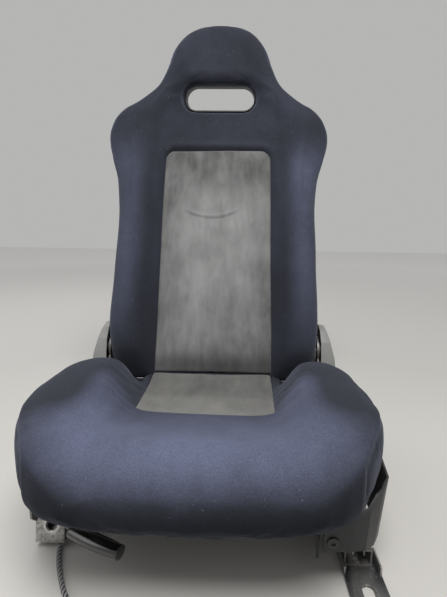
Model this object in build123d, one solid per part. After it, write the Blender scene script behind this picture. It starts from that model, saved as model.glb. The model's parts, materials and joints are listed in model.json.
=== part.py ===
from build123d import *
import math
import os

# Reclining sports seat on slide rails, modelled in its own frame in millimetres.
#
# X runs across the seat, -Y is the way the sitter faces and +Z is up. The origin is on the floor,
# in the middle of the seat's plan. Each sub-part is written to its own STEP file.

# --- Driving dimensions -------------------------------------------------------------------------
LEAN = 18.0  # backrest angle from upright, degrees
PIVOT_Y, PIVOT_Z = 150.0, 195.0  # recliner axis
SHEET = 3.0  # pressed steel
FIT = 0.05  # running clearance, radial

# Slide rails
RAIL_X = 234.0
FOOT_T = 4.0
RAIL_HALF, RAIL_TOP, RAIL_WALL = 20.0, 30.0, 2.2
LIP_IN, LIP_BOTTOM = 7.0, 21.0
CARRIER_HALF, CARRIER_Z, CARRIER_TOP = 14.0, 12.0, 62.0
WEB_HALF = 2.5
REAR_END = 225.0
LOWER_FRONT = {"left": -250.0, "right": -292.0}
UPPER_FRONT = -145.0
WINDOW_PITCH, WINDOW_LENGTH, WINDOW_COUNT = 15.0, 8.0, 18
WINDOW_FIRST_Y = -208.0
WINDOW_Z = (12.0, 19.0)

# Floor feet
SLOT_HALF_WIDTH, SLOT_LENGTH = 8.25, 30.0
HOLE_R = 9.0
RIGHT_FRONT_SLOT_Y, REAR_HOLE_Y = -342.0, 246.0
LEFT_HOLE = (-225.0, 37.5)  # x and z of the left front bracket's hole
RIGHT_RIVETS_Y, LEFT_RIVETS_Y = (-284.0, -240.0, 203.0, 217.0), (-238.0, -205.0, 203.0, 217.0)
LEFT_FACE_BOTTOM, LEFT_FACE_TOP = (-276.0, 12.0), (-267.0, 60.0)  # y, z of the bracket's front face

# Cushion frame
FRAME_X = 228.5  # inner face of the side frames
FRONT_TUBE = (-300.0, 92.0)
REAR_TUBE = (80.0, 96.0)
TUBE_R, TUBE_WALL = 11.0, 2.0
PAD_BOTTOM = 120.0

# Recliner
BASE_X = 236.5
ARM_X, ARM_T = 229.0, 4.0
SECTOR_TIP, SECTOR_ROOT, TOOTH_PITCH = 44.0, 40.5, 4.5
PAWL_PIN = (178.0, 138.0)
SHAFT = (118.0, 84.0)
SHAFT_R = 5.0

# Slide latch
LATCH_X, LATCH_Z = 199.0, 52.0
LATCH_Y = -80.0
LATCH_ARM = 20.0
LEVER_ROD_R = 5.0

# Backrest, in its own upright frame: y behind the pivot, z above it
BACK_FACE = -48.6  # front of the centre panel
PAD_REAR = 4.0
SHELL_Y = 42.0
HOLE_Z, HOLE_HALF_WIDTH, HOLE_HALF_HEIGHT = 612.0, 91.0, 33.0  # at the front
HOLE_RISE = 26.0  # how steeply the opening climbs to the rear, degrees
MEMBER_X = 176.0

# Harness lead
LEAD_R = 3.75
LEAD_ROUTE = [
    (-208.5, -232, 13),
    (-211, -252, 8),
    (-214, -272, 4.2),
    (-204, -303, 4),
    (-187, -337, 4),
    (-167, -370, 4),
    (-133, -396, 4),
    (-88, -402, 4),
    (-42, -410, 4),
]

BACK = Pos(0, PIVOT_Y, PIVOT_Z) * Rot(X=-LEAN)


# --- Helpers ------------------------------------------------------------------------------------
def save(name, shape):
    """Writes one node's solids to parts/name.step."""
    export_step(Compound(children=list(shape.solids())), f"parts/{name}.step")


def block(x, y, z):
    """A box between two x, two y and two z values."""
    spans = (x, y, z)
    size = [abs(b - a) for a, b in spans]
    middle = [(a + b) / 2 for a, b in spans]
    return Pos(*middle) * Box(*size)


def along_x(y, z, radius, x):
    """A round bar along X between two x values."""
    return Pos((x[0] + x[1]) / 2, y, z) * Rot(Y=90) * Cylinder(radius, abs(x[1] - x[0]))


def along_y(x, z, radius, y):
    """A round bar along Y between two y values."""
    return Pos(x, (y[0] + y[1]) / 2, z) * Rot(X=90) * Cylinder(radius, abs(y[1] - y[0]))


def along_z(x, y, radius, z):
    """A round bar along Z between two z values."""
    return Pos(x, y, (z[0] + z[1]) / 2) * Cylinder(radius, abs(z[1] - z[0]))


def side_plate(points, x, thickness):
    """A plate in the Y-Z plane, from x to x + thickness, with the outline points (y, z)."""
    face = make_face(Plane.YZ * Polyline(*points, close=True))
    return Pos(x, 0, 0) * extrude(face, thickness, dir=(1, 0, 0))


def profile_bar(points, y):
    """A bar along Y between two y values, with the section points (x, z)."""
    face = make_face(Plane.XZ * Polyline(*points, close=True))
    return Pos(0, max(y), 0) * extrude(face, abs(y[1] - y[0]), dir=(0, -1, 0))


def flipped(shape):
    """The same piece on the other side of the seat."""
    return mirror(shape, about=Plane.YZ)


def rod(points, radius, corner):
    """A round rod through the points, with rounded corners."""
    path = FilletPolyline(*points, radius=corner)
    start = Plane(origin=path @ 0, z_dir=path % 0)
    return sweep(start * Circle(radius), path=path)


def tube_x(y, z, outer, wall, x):
    """A round tube along X."""
    longer = (x[0] - 1, x[1] + 1)
    return along_x(y, z, outer, x) - along_x(y, z, outer - wall, longer)


def group(*shapes):
    """Several separate solids that share a node."""
    return Compound(children=[s for shape in shapes for s in shape.solids()])


def lofted(sections):
    """A closed solid through planar outlines that have the same number of corners."""
    return Solid.make_loft([Wire.make_polygon(s, close=True) for s in sections], ruled=True)


# --- Slide rails and floor feet -----------------------------------------------------------------
def lower_rail(side):
    """Channel with turned-in lips, and a row of lock windows in its inner wall. Made for the right side."""
    inner, wall = RAIL_HALF - RAIL_WALL, RAIL_WALL
    lip_out = LIP_IN + wall
    base, half = FOOT_T, RAIL_HALF
    right = [
        (half, base),
        (half, RAIL_TOP),
        (LIP_IN, RAIL_TOP),
        (LIP_IN, LIP_BOTTOM),
        (lip_out, LIP_BOTTOM),
        (lip_out, RAIL_TOP - wall),
        (inner, RAIL_TOP - wall),
        (inner, base + wall),
    ]
    left = [(-x, z) for x, z in reversed(right)]
    rail = Pos(RAIL_X, 0, 0) * profile_bar(right + left, (LOWER_FRONT[side], REAR_END))
    for i in range(WINDOW_COUNT):
        y = WINDOW_FIRST_Y + i * WINDOW_PITCH
        x = RAIL_X - half
        rail -= block((x - 1, x + wall + 1), (y, y + WINDOW_LENGTH), WINDOW_Z)
    return rail


def upper_rail():
    """Inverted T that runs inside the lower rail, with turned-up flange edges."""
    t = RAIL_WALL
    right = [
        (CARRIER_HALF, CARRIER_Z),
        (CARRIER_HALF, CARRIER_Z + 8),
        (CARRIER_HALF - t, CARRIER_Z + 8),
        (CARRIER_HALF - t, CARRIER_Z + t),
        (WEB_HALF, CARRIER_Z + t),
        (WEB_HALF, CARRIER_TOP),
    ]
    left = [(-x, z) for x, z in reversed(right)]
    return Pos(RAIL_X, 0, 0) * profile_bar(right + left, (UPPER_FRONT, REAR_END))


def rollers(cage_only):
    """Two rollers under the carrier and the strip that keeps them apart."""
    gap = CARRIER_Z - FOOT_T - RAIL_WALL
    z = FOOT_T + RAIL_WALL + gap / 2
    radius = gap / 2 - FIT
    stations = (-60.0, 130.0)
    if not cage_only:
        return group(*[along_x(y, z, radius, (RAIL_X - 10, RAIL_X + 10)) for y in stations])
    strip = block((RAIL_X - 13, RAIL_X + 13), (-75, 145), (z - 1, z + 1))
    for y in stations:
        strip -= block((RAIL_X - 10.5, RAIL_X + 10.5), (y - 3.4, y + 3.4), (z - 2, z + 2))
    return strip


def slider_shoes():
    """Nylon pads that keep the carrier central in the rail."""
    pads = []
    for y in (-135, 195):
        for side in (-1, 1):
            near, far = CARRIER_HALF, RAIL_HALF - RAIL_WALL - 0.3
            x = sorted((RAIL_X + side * near, RAIL_X + side * far))
            pads.append(block(x, (y, y + 24), (CARRIER_Z - 1, CARRIER_Z + 9)))
    return group(*pads)


def right_front_foot():
    """Long pad with a slot, and low cheeks beside the end of the rail."""
    x = (210.0, 264.0)
    front, back, crease = -374.0, -225.0, -309.0
    foot = block(x, (front, back), (0, FOOT_T))
    cheek_back, cheek_top = -268.0, 16.0
    for edge in (x[0], x[1] - SHEET):
        foot += block((edge, edge + SHEET), (crease, cheek_back), (FOOT_T, cheek_top))
    foot -= slot_along_y(RAIL_X + 3, RIGHT_FRONT_SLOT_Y)
    corners = foot.edges().filter_by(Axis.Z).group_by(Axis.Y)[0]
    return fillet(corners, 12)


def slot_along_y(x, y):
    """The cutter for one mounting slot."""
    straight = SLOT_LENGTH / 2 - SLOT_HALF_WIDTH
    reach = (-1.0, FOOT_T + 1.0)
    cutter = block((x - SLOT_HALF_WIDTH, x + SLOT_HALF_WIDTH), (y - straight, y + straight), reach)
    for end in (y - straight, y + straight):
        cutter += along_z(x, end, SLOT_HALF_WIDTH, reach)
    return cutter


def right_rear_foot():
    """Pad with a slot behind the end of the rail."""
    x = RAIL_X + 3
    foot = block((x - 26, x + 26), (160, REAR_HOLE_Y + 26), (0, FOOT_T))
    foot -= slot_along_y(x, REAR_HOLE_Y)
    return fillet(foot.edges().filter_by(Axis.Z).group_by(Axis.Y)[-1], 12)


def left_rear_foot():
    """Pad with a round hole behind the end of the rail."""
    foot = block((-RAIL_X - 24, -RAIL_X + 24), (160, REAR_HOLE_Y + 24), (0, FOOT_T))
    foot -= along_z(-RAIL_X, REAR_HOLE_Y, HOLE_R, (-1, FOOT_T + 1))
    return fillet(foot.edges().filter_by(Axis.Z).group_by(Axis.Y)[-1], 12)


def left_hole_direction():
    """Unit normal (y, z) of the left front bracket's face, pointing forward."""
    rise = [b - a for a, b in zip(LEFT_FACE_BOTTOM, LEFT_FACE_TOP)]
    length = math.hypot(*rise)
    return (-rise[1] / length, rise[0] / length)


def left_front_foot():
    """Pad under the rail whose narrow neck turns up into a steep plate with a round hole."""
    t = FOOT_T
    ny, nz = left_hole_direction()
    (by, bz), (ty, tz) = LEFT_FACE_BOTTOM, LEFT_FACE_TOP
    neck = side_plate(
        [
            (-190, 0),
            (-190, t),
            (-252, t),
            (by - ny * t, bz + 2 - nz * t),
            (by, bz),
            (by + 4, bz - 1),
            (-254, 0),
        ],
        -250,
        30,
    )
    face = side_plate(
        [(by, bz), (ty, tz), (ty - ny * t, tz - nz * t), (by - ny * t, bz - nz * t)], -249, 44
    )
    x, z = LEFT_HOLE
    share = (z - bz) / (tz - bz)
    y = by + share * (ty - by)
    direction = Vector(0, ny, nz)
    cutter = Pos(x, y, z) * Plane(origin=(0, 0, 0), z_dir=direction).location * Cylinder(HOLE_R, 14)
    foot = neck + face - cutter
    sharp = foot.edges().filter_by(lambda e: abs((e % 0.5).dot(direction)) > 0.99)
    corners = [e for e in sharp if abs(e.length - t) < 0.2 and e.center().Z > 40]
    return fillet(corners, 8)


def foot_rivets():
    """Rivets through the rails' floors into the feet."""
    made = []
    shank, head, head_z = 3.5, 5.5, (FOOT_T + RAIL_WALL, FOOT_T + RAIL_WALL + 1.6)
    places = [(RAIL_X, y) for y in RIGHT_RIVETS_Y] + [(-RAIL_X, y) for y in LEFT_RIVETS_Y]
    for x, y in places:
        made.append(along_z(x, y, shank, (0.4, head_z[0])) + along_z(x, y, head, head_z))
    return group(*made)


def rivet_holes(shape, x_sign):
    """Cuts the rivet holes that fall in this side's rail or foot."""
    ys = RIGHT_RIVETS_Y if x_sign > 0 else LEFT_RIVETS_Y
    for y in ys:
        shape -= along_z(x_sign * RAIL_X, y, 3.5 + FIT, (-1, 9))
    return shape


# --- Cushion frame ------------------------------------------------------------------------------
def side_frame():
    """Pressed side member that stands on the upper rail's web. Made for the right side."""
    outline = [
        (-150, 36),
        (215, 36),
        (215, 62),
        (120, 66),
        (60, 118),
        (-314, 118),
        (-322, 110),
        (-322, 86),
        (-310, 74),
        (-190, 66),
        (-152, 66),
    ]
    plate = side_plate(outline, FRAME_X, SHEET)
    plate -= tube_cutter(FRONT_TUBE) + tube_cutter(REAR_TUBE)
    for y in (-130, -40, 40):
        plate -= along_x(y, 92, 11, (FRAME_X - 1, FRAME_X + SHEET + 1))
    for y in RAIL_BOLTS_Y:
        plate -= along_x(y, BOLT_Z, BOLT_R + FIT, (FRAME_X - 1, FRAME_X + SHEET + 1))
    for y in SHIELD_SCREWS_Y:
        plate -= along_x(y, SHIELD_SCREW_Z, 3 + FIT, (FRAME_X - 1, FRAME_X + SHEET + 1))
    return plate


RAIL_BOLTS_Y, BOLT_Z, BOLT_R = (-120.0, 0.0, 95.0, 190.0), 48.0, 4.0


def tube_cutter(place):
    """The hole that a cross tube passes through in both side frames."""
    return along_x(*place, TUBE_R + FIT, (-FRAME_X - 10, FRAME_X + 10))


def rail_bolts():
    """Hex-headed bolts that clamp the side frame, the rail's web and the recliner base."""
    made = []
    for y in RAIL_BOLTS_Y:
        outer = BASE_X + ARM_T if y > 60 else RAIL_X + WEB_HALF
        shank = along_x(y, BOLT_Z, BOLT_R, (FRAME_X - 6, outer))
        head = Pos(outer, y, BOLT_Z) * Rot(Y=90) * extrude(RegularPolygon(6.5, 6), 4)
        nut = Pos(FRAME_X - 6, y, BOLT_Z) * Rot(Y=90) * extrude(RegularPolygon(6.5, 6), 6)
        made.append(shank + head + nut)
    return group(*made)


def cross_tube(place):
    """A tube between the two side frames."""
    return tube_x(*place, TUBE_R, TUBE_WALL, (-FRAME_X - SHEET, FRAME_X + SHEET))


def seat_pan():
    """Pressed sheet that carries the front of the cushion, with a turned-down front edge."""
    outline = [(-345, 96), (-345, 112), (-338, 117), (-205, 117), (-198, 112), (-198, 104)]
    inner = [(-196, 104), (-196, 113), (-204, 119), (-339, 119), (-347, 113), (-347, 96)]
    pan = side_plate(outline + inner, -FRAME_X + 0.5, 2 * FRAME_X - 1)
    for x in (-110, 0, 110):
        pan -= along_z(x, -265, 26, (110, 125))
    for x in (-200, 200):
        pan -= block((x - 32, x + 32), (-350, -312), (90, 125))
    return pan


def zigzag(x_start, y_start, x_step, y_step, legs, wave, axis):
    """Corner points of a zigzag that swings by wave and advances along one axis."""
    points = []
    for i in range(legs + 1):
        swing = wave if i % 2 else -wave
        if axis == "y":
            points += [(x_start + swing, y_start + i * y_step), (x_start + swing, y_start + (i + 1) * y_step)]
        else:
            points += [(x_start + i * x_step, y_start + swing), (x_start + (i + 1) * x_step, y_start + swing)]
    return points


def cushion_springs():
    """Four zigzag wires from the pan's rear edge to the rear tube."""
    made = []
    wire_r, z = 1.8, 111.0
    for x in (-126, -42, 42, 126):
        flat = zigzag(x, -193, 0, 20.0, 12, 22, "y")
        made.append(rod([(a, b, z) for a, b in flat], wire_r, 7))
    return group(*made)


# --- Recliner -----------------------------------------------------------------------------------
def recliner_base():
    """Fixed plate outside the rail's web that carries the recliner axis. Made for the right side."""
    plate = side_plate(
        [(55, 36), (218, 36), (214, 90), (186, 190), (114, 190), (84, 120), (55, 70)], BASE_X, ARM_T
    )
    plate += along_x(PIVOT_Y, PIVOT_Z, 38, (BASE_X, BASE_X + ARM_T))
    through = (BASE_X - 1, BASE_X + ARM_T + 1)
    plate -= along_x(PIVOT_Y, PIVOT_Z, 8 + FIT, through)
    plate -= along_x(*PAWL_PIN, 4 + FIT, through)
    plate -= along_x(*SHAFT, SHAFT_R + FIT, through)
    for y in RAIL_BOLTS_Y:
        if y > 60:
            plate -= along_x(y, BOLT_Z, BOLT_R + FIT, through)
    return plate


def recliner_arm():
    """Toothed plate on the backrest that turns on the pivot pin. Made for the right side."""
    corners = []
    first, last = -36.0, 87.0
    count = int((last - first) / TOOTH_PITCH)
    for i in range(count + 1):
        for share, radius in ((0.0, SECTOR_ROOT), (0.3, SECTOR_TIP), (0.55, SECTOR_TIP), (0.85, SECTOR_ROOT)):
            a = math.radians(first + (i + share) * TOOTH_PITCH)
            corners.append((radius * math.sin(a), -radius * math.cos(a)))
    sector = side_plate(corners + [(0, 0)], ARM_X, ARM_T)
    tongue = side_plate([(-20, 0), (-8, 84), (34, 84), (36, 0)], ARM_X, ARM_T)
    disc = along_x(0, 0, 34, (ARM_X, ARM_X + ARM_T))
    arm = sector + tongue + disc
    through = (ARM_X - 1, ARM_X + ARM_T + 1)
    arm -= along_x(0, 0, 8 + FIT, through)
    for z in ARM_BOLTS_Z:
        arm -= along_x(ARM_BOLT_Y, z, 4 + FIT, through)
    return BACK * arm


ARM_BOLT_Y, ARM_BOLTS_Z = 20.0, (50.0, 74.0)


def arm_bolts():
    """Bolts and spacer tubes that hold the arms off the backrest's side members."""
    made = []
    inner = MEMBER_X + SHEET
    for z in ARM_BOLTS_Z:
        spacer = tube_x(ARM_BOLT_Y, z, 7, 7 - 4 - FIT, (inner, ARM_X))
        bolt = along_x(ARM_BOLT_Y, z, 4, (MEMBER_X - 8, ARM_X + ARM_T))
        bolt += along_x(ARM_BOLT_Y, z, 7, (MEMBER_X - 8, MEMBER_X))
        bolt += along_x(ARM_BOLT_Y, z, 6, (ARM_X + ARM_T, ARM_X + ARM_T + 2.5))
        made += [BACK * spacer, BACK * bolt]
    return group(*made)


def pivot_pin():
    """Shouldered pin of the recliner, with a flanged inner end and a slotted outer end for the spring."""
    pin = along_x(PIVOT_Y, PIVOT_Z, 8, (ARM_X - 3, BASE_X + 16))
    pin += along_x(PIVOT_Y, PIVOT_Z, 12, (ARM_X - 3, ARM_X - 0.4))
    pin += along_x(PIVOT_Y, PIVOT_Z, 11, (ARM_X + ARM_T + 0.4, BASE_X))
    slot_x = (BASE_X + ARM_T + 1, BASE_X + 17)
    return pin - block(slot_x, (PIVOT_Y - 9, PIVOT_Y + 9), (PIVOT_Z - 1.2, PIVOT_Z + 1.2))


def return_spring():
    """Flat clock spring that turns the backrest forward, wound on the pivot pin's slotted end."""
    turns, first_r, pitch, half, width = 3.25, 10.5, 5.2, 0.9, 8.0
    steps = int(turns * 24)
    outer, inner = [], []
    for i in range(steps + 1):
        a = 2 * math.pi * i / 24
        r = first_r + pitch * i / 24
        outer.append(((r + half) * math.cos(a), (r + half) * math.sin(a)))
        inner.append(((r - half) * math.cos(a), (r - half) * math.sin(a)))
    coil = side_plate(outer + inner[::-1], 0, width)
    tail = block((0, width), (-half, 10.0), (-half, half))
    x = BASE_X + ARM_T + 2.5
    return Pos(x, PIVOT_Y, PIVOT_Z) * (coil + tail)


def pawl():
    """Toothed pawl below the sector. It stands just short of the sector's teeth."""
    y0, z0 = PAWL_PIN
    body = side_plate(
        [(186, 144), (170, 147), (166, 145.8), (134, 145.8), (112, 140), (110, 131), (150, 131), (172, 129), (186, 131)],
        ARM_X,
        ARM_T,
    )
    clear = along_x(PIVOT_Y, PIVOT_Z, SECTOR_TIP + 0.5, (ARM_X - 1, ARM_X + ARM_T + 1))
    for i in range(-2, 3):
        a = math.radians(i * TOOTH_PITCH)
        cx, cz = PIVOT_Y + 49 * math.sin(a), PIVOT_Z - 49 * math.cos(a)
        body += Pos(ARM_X + ARM_T / 2, cx, cz) * Rot(X=math.degrees(a)) * Box(ARM_T, 1.9, 9)
    body -= clear
    return body - along_x(y0, z0, 4 + FIT, (ARM_X - 1, ARM_X + ARM_T + 1))


def pawl_pin():
    """Pin that carries the pawl on the recliner base."""
    y, z = PAWL_PIN
    pin = along_x(y, z, 4, (ARM_X - 2.5, BASE_X + ARM_T + 2))
    pin += along_x(y, z, 6.5, (ARM_X - 2.5, ARM_X - 0.4)) + along_x(y, z, 6.5, (ARM_X + ARM_T + 0.4, BASE_X))
    return pin


def release_cam():
    """Arm on the release shaft that props the pawl up."""
    y, z = SHAFT
    cam = along_x(y, z, 10, (ARM_X, ARM_X + ARM_T))
    cam += side_plate([(y - 7, z), (y - 5, z + 41), (y - 2, z + 44), (y + 2, z + 44), (y + 5, z + 41), (y + 7, z)], ARM_X, ARM_T)
    return cam - along_x(y, z, SHAFT_R + FIT / 2, (ARM_X - 1, ARM_X + ARM_T + 1))


def recline_lever():
    """Steel hub and long flat lever outside the side shield."""
    y, z = SHAFT
    x = (279.0, 283.0)
    blade = side_plate(
        [(y + 12, z - 6), (y + 8, z + 12), (y - 30, z + 17), (-10, 106), (-10, 92), (y - 20, z - 12), (y + 4, z - 13)],
        x[0],
        x[1] - x[0],
    )
    hub = along_x(y, z, 12, (BASE_X + ARM_T + 12, x[0]))
    lever = blade + hub
    return lever - along_x(y, z, SHAFT_R + FIT / 2, (200, 281))


def recline_grip():
    """Plastic paddle on the front of the recline lever."""
    outer = side_plate([(20, 88), (20, 116), (-52, 122), (-66, 114), (-66, 98), (-52, 88)], 276.8, 8.6)
    slot = block((279 - FIT, 283 + FIT), (-10 - FIT, 30), (60, 130))
    return outer - slot


def recliner_cover():
    """Hollow moulded cap over the recliner. Made for the right side."""
    x0, depth, wall = BASE_X + ARM_T + 0.5, 37.0, 2.6
    outline = [(92, 122), (206, 122), (213, 160), (212, 200), (198, 232), (176, 252), (150, 260), (124, 252)]
    outline += [(103, 230), (93, 198), (90, 160)]
    face = make_face(Plane.YZ * Polyline(*outline, close=True))
    outer = Pos(x0, 0, 0) * extrude(face, depth, taper=10) & cover_slope(0)
    inner = Pos(x0 - 0.01, 0, 0) * extrude(offset(face, -wall), depth - wall, taper=10) & cover_slope(wall)
    return outer - inner


def cover_slope(inset):
    """Front outline of the recliner cover, which leans in towards its top, as a bar along Y."""
    x0 = BASE_X + ARM_T
    slope = [(x0 - 5, 100), (x0 + 40, 100), (x0 + 37, 150), (x0 + 32, 192), (x0 + 20, 238), (x0 + 12, 262)]
    slope += [(x0 - 5, 264)]
    return Pos(-inset, 0, 0) * profile_bar(slope, (80, 220))


# --- Side shield --------------------------------------------------------------------------------
SHIELD_PLAN = [(276, -236), (269, -290), (254, -318), (234, -335), (208, -341)]
SHIELD_TOP_Z, SHIELD_LEAN = 146.0, 9.0 / 94.0


def shield_core(wall, ends):
    """Everything inside the shield's outer face, less the wall. The outer side leans in towards its foot."""
    (inner_x, front_x, back_y), levels = ends, []
    for z in (40.0, 160.0):
        lean = (SHIELD_TOP_Z - z) * SHIELD_LEAN
        corners = [(276 - wall - lean, back_y)]
        for x, y in SHIELD_PLAN:
            share = min(1.0, (x - 208) / 46)
            corners.append((x - wall - lean * share, y + wall if y < -300 else y))
        corners += [(front_x, -341 + wall), (inner_x, back_y)]
        levels.append(make_face(Polyline(*[(x, y, z) for x, y in corners], close=True)))
    return loft(levels, ruled=True)


def side_shield():
    """Moulded valance along the right side whose front wraps under the cushion's corner."""
    outer = shield_core(0.0, (172, 172, 90))
    profile = [(-342, 66), (-300, 54), (40, 52), (90, 66), (90, 110), (60, 146), (-306, 146), (-322, 140)]
    profile += [(-332, 126), (-338, 116), (-342, 113)]
    side = side_plate(profile, 160, 120)
    shield = (outer - shield_core(3.0, (160, 160, 96))) & side
    shield += block((184, 244), (-338, -316), (66, 69)) & outer & side
    shield -= along_y(184, 79, 3.8 + FIT, (-345, -330))
    for y in SHIELD_SCREWS_Y:
        shield += along_x(y, SHIELD_SCREW_Z, 7, (FRAME_X + SHEET, SHIELD_BOSS_X))
        shield -= along_x(y, SHIELD_SCREW_Z, 3 + FIT, (220, 280))
    return shield


SHIELD_SCREWS_Y, SHIELD_SCREW_Z = (-200.0, 48.0), 104.0
SHIELD_BOSS_X = 272.6


def shield_screws():
    """Screws that hold the side shield."""
    head = along_y(184, 79, 8, (-343.5, -341)) - along_y(184, 79, 3.2, (-344, -342))
    made = [along_y(184, 79, 3.8, (-341, -322)) + head]
    for y in SHIELD_SCREWS_Y:
        shank = along_x(y, SHIELD_SCREW_Z, 3, (228, SHIELD_BOSS_X))
        made.append(shank + along_x(y, SHIELD_SCREW_Z, 6, (SHIELD_BOSS_X, SHIELD_BOSS_X + 2)))
    return group(*made)


def shield_bracket():
    """Bent steel tab under the seat pan that the shield's front screw bites into."""
    tab = block((174, 194), (-336.5, -334.5), (70, 104)) - along_y(184, 79, 3.8 + FIT, (-340, -330))
    tab += block((150, 194), (-336.5, -334.5), (92, 104))
    tab += block((150, 172), (-336.5, -322), (102, 104))
    tab += block((150, 166), (-324, -322), (102, 117))
    return tab - along_z(166, -329, HOOK_R + FIT, (100, 106))


HOOK_R = 2.0


def retaining_hook():
    """Headed wire hook that hangs through the bracket's shelf and holds the cover's hem cord."""
    wire = rod([(166, -329, 104), (166, -329, 66), (166, -336, 52)], HOOK_R, 6)
    return wire + along_z(166, -329, 2 * HOOK_R, (104, 106))


# --- Slide latch --------------------------------------------------------------------------------
def latch(x_sign):
    """Latch plate with three teeth that point at the lower rail's windows, and its arm for the link."""
    inner_x = LATCH_X
    tip = RAIL_X - RAIL_HALF - 0.6
    y0 = LATCH_Y - 22
    plate = block((inner_x - 1.5, inner_x + 1.5), (y0, y0 + 44), (18, LATCH_Z - 5.2))
    plate += block((inner_x - 6, inner_x + 6), (y0, y0 + 44), (LATCH_Z - 7, LATCH_Z - 5))
    plate += along_y(inner_x, LATCH_Z, 8, (y0, y0 + 44))
    for i in range(3):
        y = WINDOW_FIRST_Y + (7 + i) * WINDOW_PITCH
        plate += block((inner_x, tip), (y + 0.5, y + WINDOW_LENGTH - 0.5), (13.0, 18.5))
    plate += block((inner_x - 1.5, inner_x + 1.5), (y0, y0 + 44), (13, 19))
    reach = LATCH_ARM if x_sign < 0 else -LATCH_ARM
    arm_z = LATCH_Z + reach
    if x_sign < 0:
        plate += block((inner_x - 1.5, inner_x + 1.5), (LATCH_Y + 22, LATCH_Y + 36), (LATCH_Z - 6, arm_z + 8))
        plate += along_y(inner_x, LATCH_Z, 8, (y0, LATCH_Y + 36))
    else:
        plate += block((inner_x - 1.5, inner_x + 1.5), (LATCH_Y + 22, LATCH_Y + 36), (arm_z - 8, LATCH_Z + 6))
        plate += along_y(inner_x, LATCH_Z, 8, (y0, LATCH_Y + 36))
    plate -= along_x(LATCH_Y + 29, arm_z, 4.2, (inner_x - 4, inner_x + 4))
    plate -= along_y(inner_x, LATCH_Z, LEVER_ROD_R + FIT / 2, (y0 - 1, LATCH_Y + 40))
    return plate if x_sign > 0 else flipped(plate)


def latch_hangers():
    """Ears on the side frames that carry both latch shafts."""
    made = []
    for y in (-146, -30):
        ear = block((LATCH_X - 9, FRAME_X), (y, y + 4), (LATCH_Z - 9, LATCH_Z + 12))
        ear -= along_y(LATCH_X, LATCH_Z, LEVER_ROD_R + FIT, (y - 1, y + 5))
        made += [ear, flipped(ear)]
    return group(*made)


def slide_rod():
    """Round rod that is the left latch's shaft, then bends inward to the hand grip."""
    x = -LATCH_X
    points = [(x, -20, LATCH_Z), (x, -262, LATCH_Z), (x + 8, -296, 60), (-174, -312, 61), (-146, -325, 60)]
    return rod(points, LEVER_ROD_R, 12)


def slide_grip():
    """Tapered plastic grip pushed on the end of the slide rod."""
    start, end = Vector(-178, -310.4, 60.9), Vector(-100, -345, 57)
    axis = Plane(origin=start, z_dir=end - start)
    length = (end - start).length
    body = loft([axis * Ellipse(11, 9), axis.offset(length * 0.5) * Ellipse(14, 11), axis.offset(length) * Ellipse(11, 10)])
    return body - slide_rod()


def right_latch_shaft():
    """Short shaft of the right latch."""
    return along_y(LATCH_X, LATCH_Z, LEVER_ROD_R, (-150, -20))


def sync_link():
    """Wire that joins the left latch's upper arm to the right latch's lower arm."""
    y, x = LATCH_Y + 29, LATCH_X
    points = [
        (-x - 9, y, LATCH_Z + LATCH_ARM),
        (-x + 26, y, LATCH_Z + LATCH_ARM),
        (x - 26, y, LATCH_Z - LATCH_ARM),
        (x + 9, y, LATCH_Z - LATCH_ARM),
    ]
    return rod(points, 2.5, 10)


# --- Soft parts ---------------------------------------------------------------------------------
# Cushion stations from front to back: y, centre height, crest height, half width, channel half width,
# underside height.
CUSHION_STATIONS = [
    (-420, 182, 184, 162, 90, 148),
    (-408, 206, 208, 190, 100, 132),
    (-384, 221, 226, 216, 108, 118),
    (-352, 224, 234, 234, 110, 117),
    (-340, 222, 237, 240, 112, PAD_BOTTOM),
    (-300, 212, 244, 258, 112, PAD_BOTTOM),
    (-270, 203, 248, 265, 112, PAD_BOTTOM),
    (-220, 190, 250, 267, 112, PAD_BOTTOM),
    (-150, 176, 250, 262, 114, PAD_BOTTOM),
    (-80, 168, 240, 254, 118, PAD_BOTTOM),
    (-20, 166, 216, 242, 124, PAD_BOTTOM),
    (14, 167, 190, 226, 128, PAD_BOTTOM),
    (34, 167, 169, 222, 130, PAD_BOTTOM),
    (72, 160, 160, 214, 130, PAD_BOTTOM + 4),
]
INSERT_DEPTH = 12.0


def cushion_section(y, floor, crest, half, channel, under):
    """Outline of the cushion across the seat at one y."""
    rise = crest - floor
    shoulder = min(150.0, (floor + under) / 2)
    sink = 26.0 * min(1.0, max(0.0, (y + 70.0) / 110.0))
    right = [
        (channel + 1, floor),
        (channel + 24, floor + 0.5 * rise - sink),
        (channel + 56, crest - 0.3 * sink),
        (half - 22, crest - 0.03 * rise - 0.3 * sink),
        (half - 4, floor + 0.58 * rise - 0.3 * sink),
        (half, max(shoulder + 8, (floor + under) / 2 + 12) - 0.3 * sink),
        (half - 6, shoulder + 3 - 0.3 * sink),
        (half - 28, under + 15 - 0.3 * sink),
        (half - 80, under + 4),
        (50, under),
    ]
    left = [(-x, z) for x, z in reversed(right)]
    return [(x, y, z) for x, z in right + left]


def cushion_solid(drop=0.0):
    """The whole cushion, or with its upper surface lowered by drop."""
    sections = []
    for y, floor, crest, half, channel, under in CUSHION_STATIONS:
        sections.append(cushion_section(y, floor - drop, crest - drop, half, channel, under))
    return lofted(sections)


def cushion_pocket():
    """The space that the cushion's centre panel takes."""
    plan = make_face(Polyline((-118, -168), (118, -168), (130, 66), (-130, 66), close=True))
    return extrude(Pos(0, 0, 100) * plan, 200) - cushion_solid(INSERT_DEPTH)


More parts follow.
